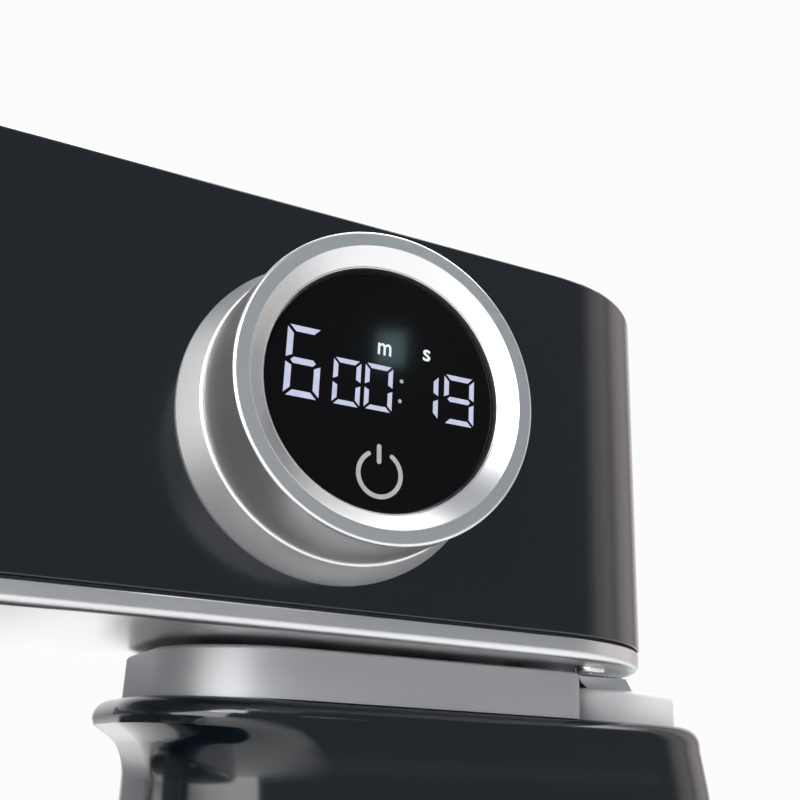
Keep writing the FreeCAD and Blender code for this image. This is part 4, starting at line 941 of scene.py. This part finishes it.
# the camera: place, sensor and lens in millimetres, angles in degrees, nearest distance in metres
CAMERA_PLACE = (-20.2, -260.7, 194.3)
CAMERA_AZIMUTH = -25.0975
CAMERA_RISE = -19.3196
CAMERA_ROLL = 2.4265
SENSOR_WIDTH = 36
LENS_LENGTH = 46.96
NEAREST = 0.005


def make_floor():
    clear_selection()
    bpy.ops.mesh.primitive_plane_add(size=FLOOR_SIZE)
    floor = bpy.context.object
    floor.name = "studio_floor"
    pale = plain_finish("pale_floor", (0.9, 0.9, 0.9), rough=0.7, metal=0.0, scale=30,
                        spread=0.05, tone=0.01, strength=0.02, depth=0.0002)
    floor.data.materials.append(pale)


def soft_light(name, place, aim, wide, tall, power, colour=(1, 1, 1)):
    lamp = bpy.data.lights.new(name, "AREA")
    lamp.shape = "RECTANGLE"
    lamp.size = wide
    lamp.size_y = tall
    lamp.energy = power
    lamp.color = colour
    holder = bpy.data.objects.new(name, lamp)
    holder.location = place
    holder.rotation_euler = (Vector(aim) - Vector(place)).to_track_quat("-Z", "Y").to_euler()
    bpy.context.scene.collection.objects.link(holder)


def make_room():
    world = bpy.data.worlds.new("studio")
    bpy.context.scene.world = world
    world.use_nodes = True
    tree = world.node_tree
    back = tree.nodes["Background"]
    place = tree.nodes.new("ShaderNodeTexCoord")
    split = tree.nodes.new("ShaderNodeSeparateXYZ")
    bearing = tree.nodes.new("ShaderNodeMath")
    bearing.operation = "ARCTAN2"
    spread = tree.nodes.new("ShaderNodeMapRange")
    spread.inputs["From Min"].default_value = -math.pi
    spread.inputs["From Max"].default_value = math.pi
    ramp = tree.nodes.new("ShaderNodeValToRGB")
    stops = ramp.color_ramp.elements
    while len(stops) < len(ROOM):
        stops.new(0.5)
    for stop, (angle, _) in zip(stops, ROOM):
        stop.position = (angle + 180) / 360
    for stop, (_, colour) in zip(stops, ROOM):
        stop.color = (*colour, 1)
    tree.links.new(place.outputs["Generated"], split.inputs["Vector"])
    tree.links.new(split.outputs["X"], bearing.inputs[0])
    tree.links.new(split.outputs["Y"], bearing.inputs[1])
    tree.links.new(bearing.outputs["Value"], spread.inputs["Value"])
    tree.links.new(spread.outputs["Result"], ramp.inputs["Fac"])
    tree.links.new(ramp.outputs["Color"], back.inputs["Color"])
    back.inputs["Strength"].default_value = 1.0


def place_camera():
    scene = bpy.context.scene
    lens = bpy.data.cameras.new("camera")
    holder = bpy.data.objects.new("camera", lens)
    scene.collection.objects.link(holder)
    azimuth = math.radians(CAMERA_AZIMUTH)
    rise = math.radians(CAMERA_RISE)
    roll = math.radians(CAMERA_ROLL)
    back = Vector((math.sin(azimuth) * math.cos(rise), -math.cos(azimuth) * math.cos(rise), math.sin(rise)))
    level = Vector((math.cos(azimuth), math.sin(azimuth), 0))
    upward = back.cross(level)
    right = math.cos(roll) * level + math.sin(roll) * upward
    up = -math.sin(roll) * level + math.cos(roll) * upward
    turn = Matrix((right, up, back)).transposed().to_4x4()
    holder.matrix_world = Matrix.Translation(Vector(CAMERA_PLACE) * MM) @ turn
    lens.sensor_width = SENSOR_WIDTH
    lens.lens = LENS_LENGTH
    lens.clip_start = NEAREST
    lens.dof.use_dof = False
    scene.camera = holder


make_floor()
make_room()
soft_light("window_left", place=(-0.95, -0.43, 0.43), aim=(0, -0.05, 0.22), wide=1.3, tall=0.85, power=16,
           colour=(1, 0.99, 0.97))
soft_light("floor_wash", place=(0.35, 1.1, 1.3), aim=(0.35, 1.0, 0), wide=1.6, tall=1.0, power=21)
soft_light("top_soft", place=(0.54, 0.02, 1.4), aim=(0.06, -0.08, 0.26), wide=1.0, tall=0.8, power=9)
soft_light("front_high", place=(-1.05, -1.4, 1.45), aim=(0, 0, 0.25), wide=1.0, tall=0.6, power=16)
soft_light("window_glint", place=(0.562, -1.176, 0.767), aim=(0.063, -0.078, 0.276), wide=0.042, tall=0.052,
           power=0.06, colour=(0.6, 0.92, 1.0))
place_camera()
bpy.context.scene.view_settings.view_transform = "Standard"
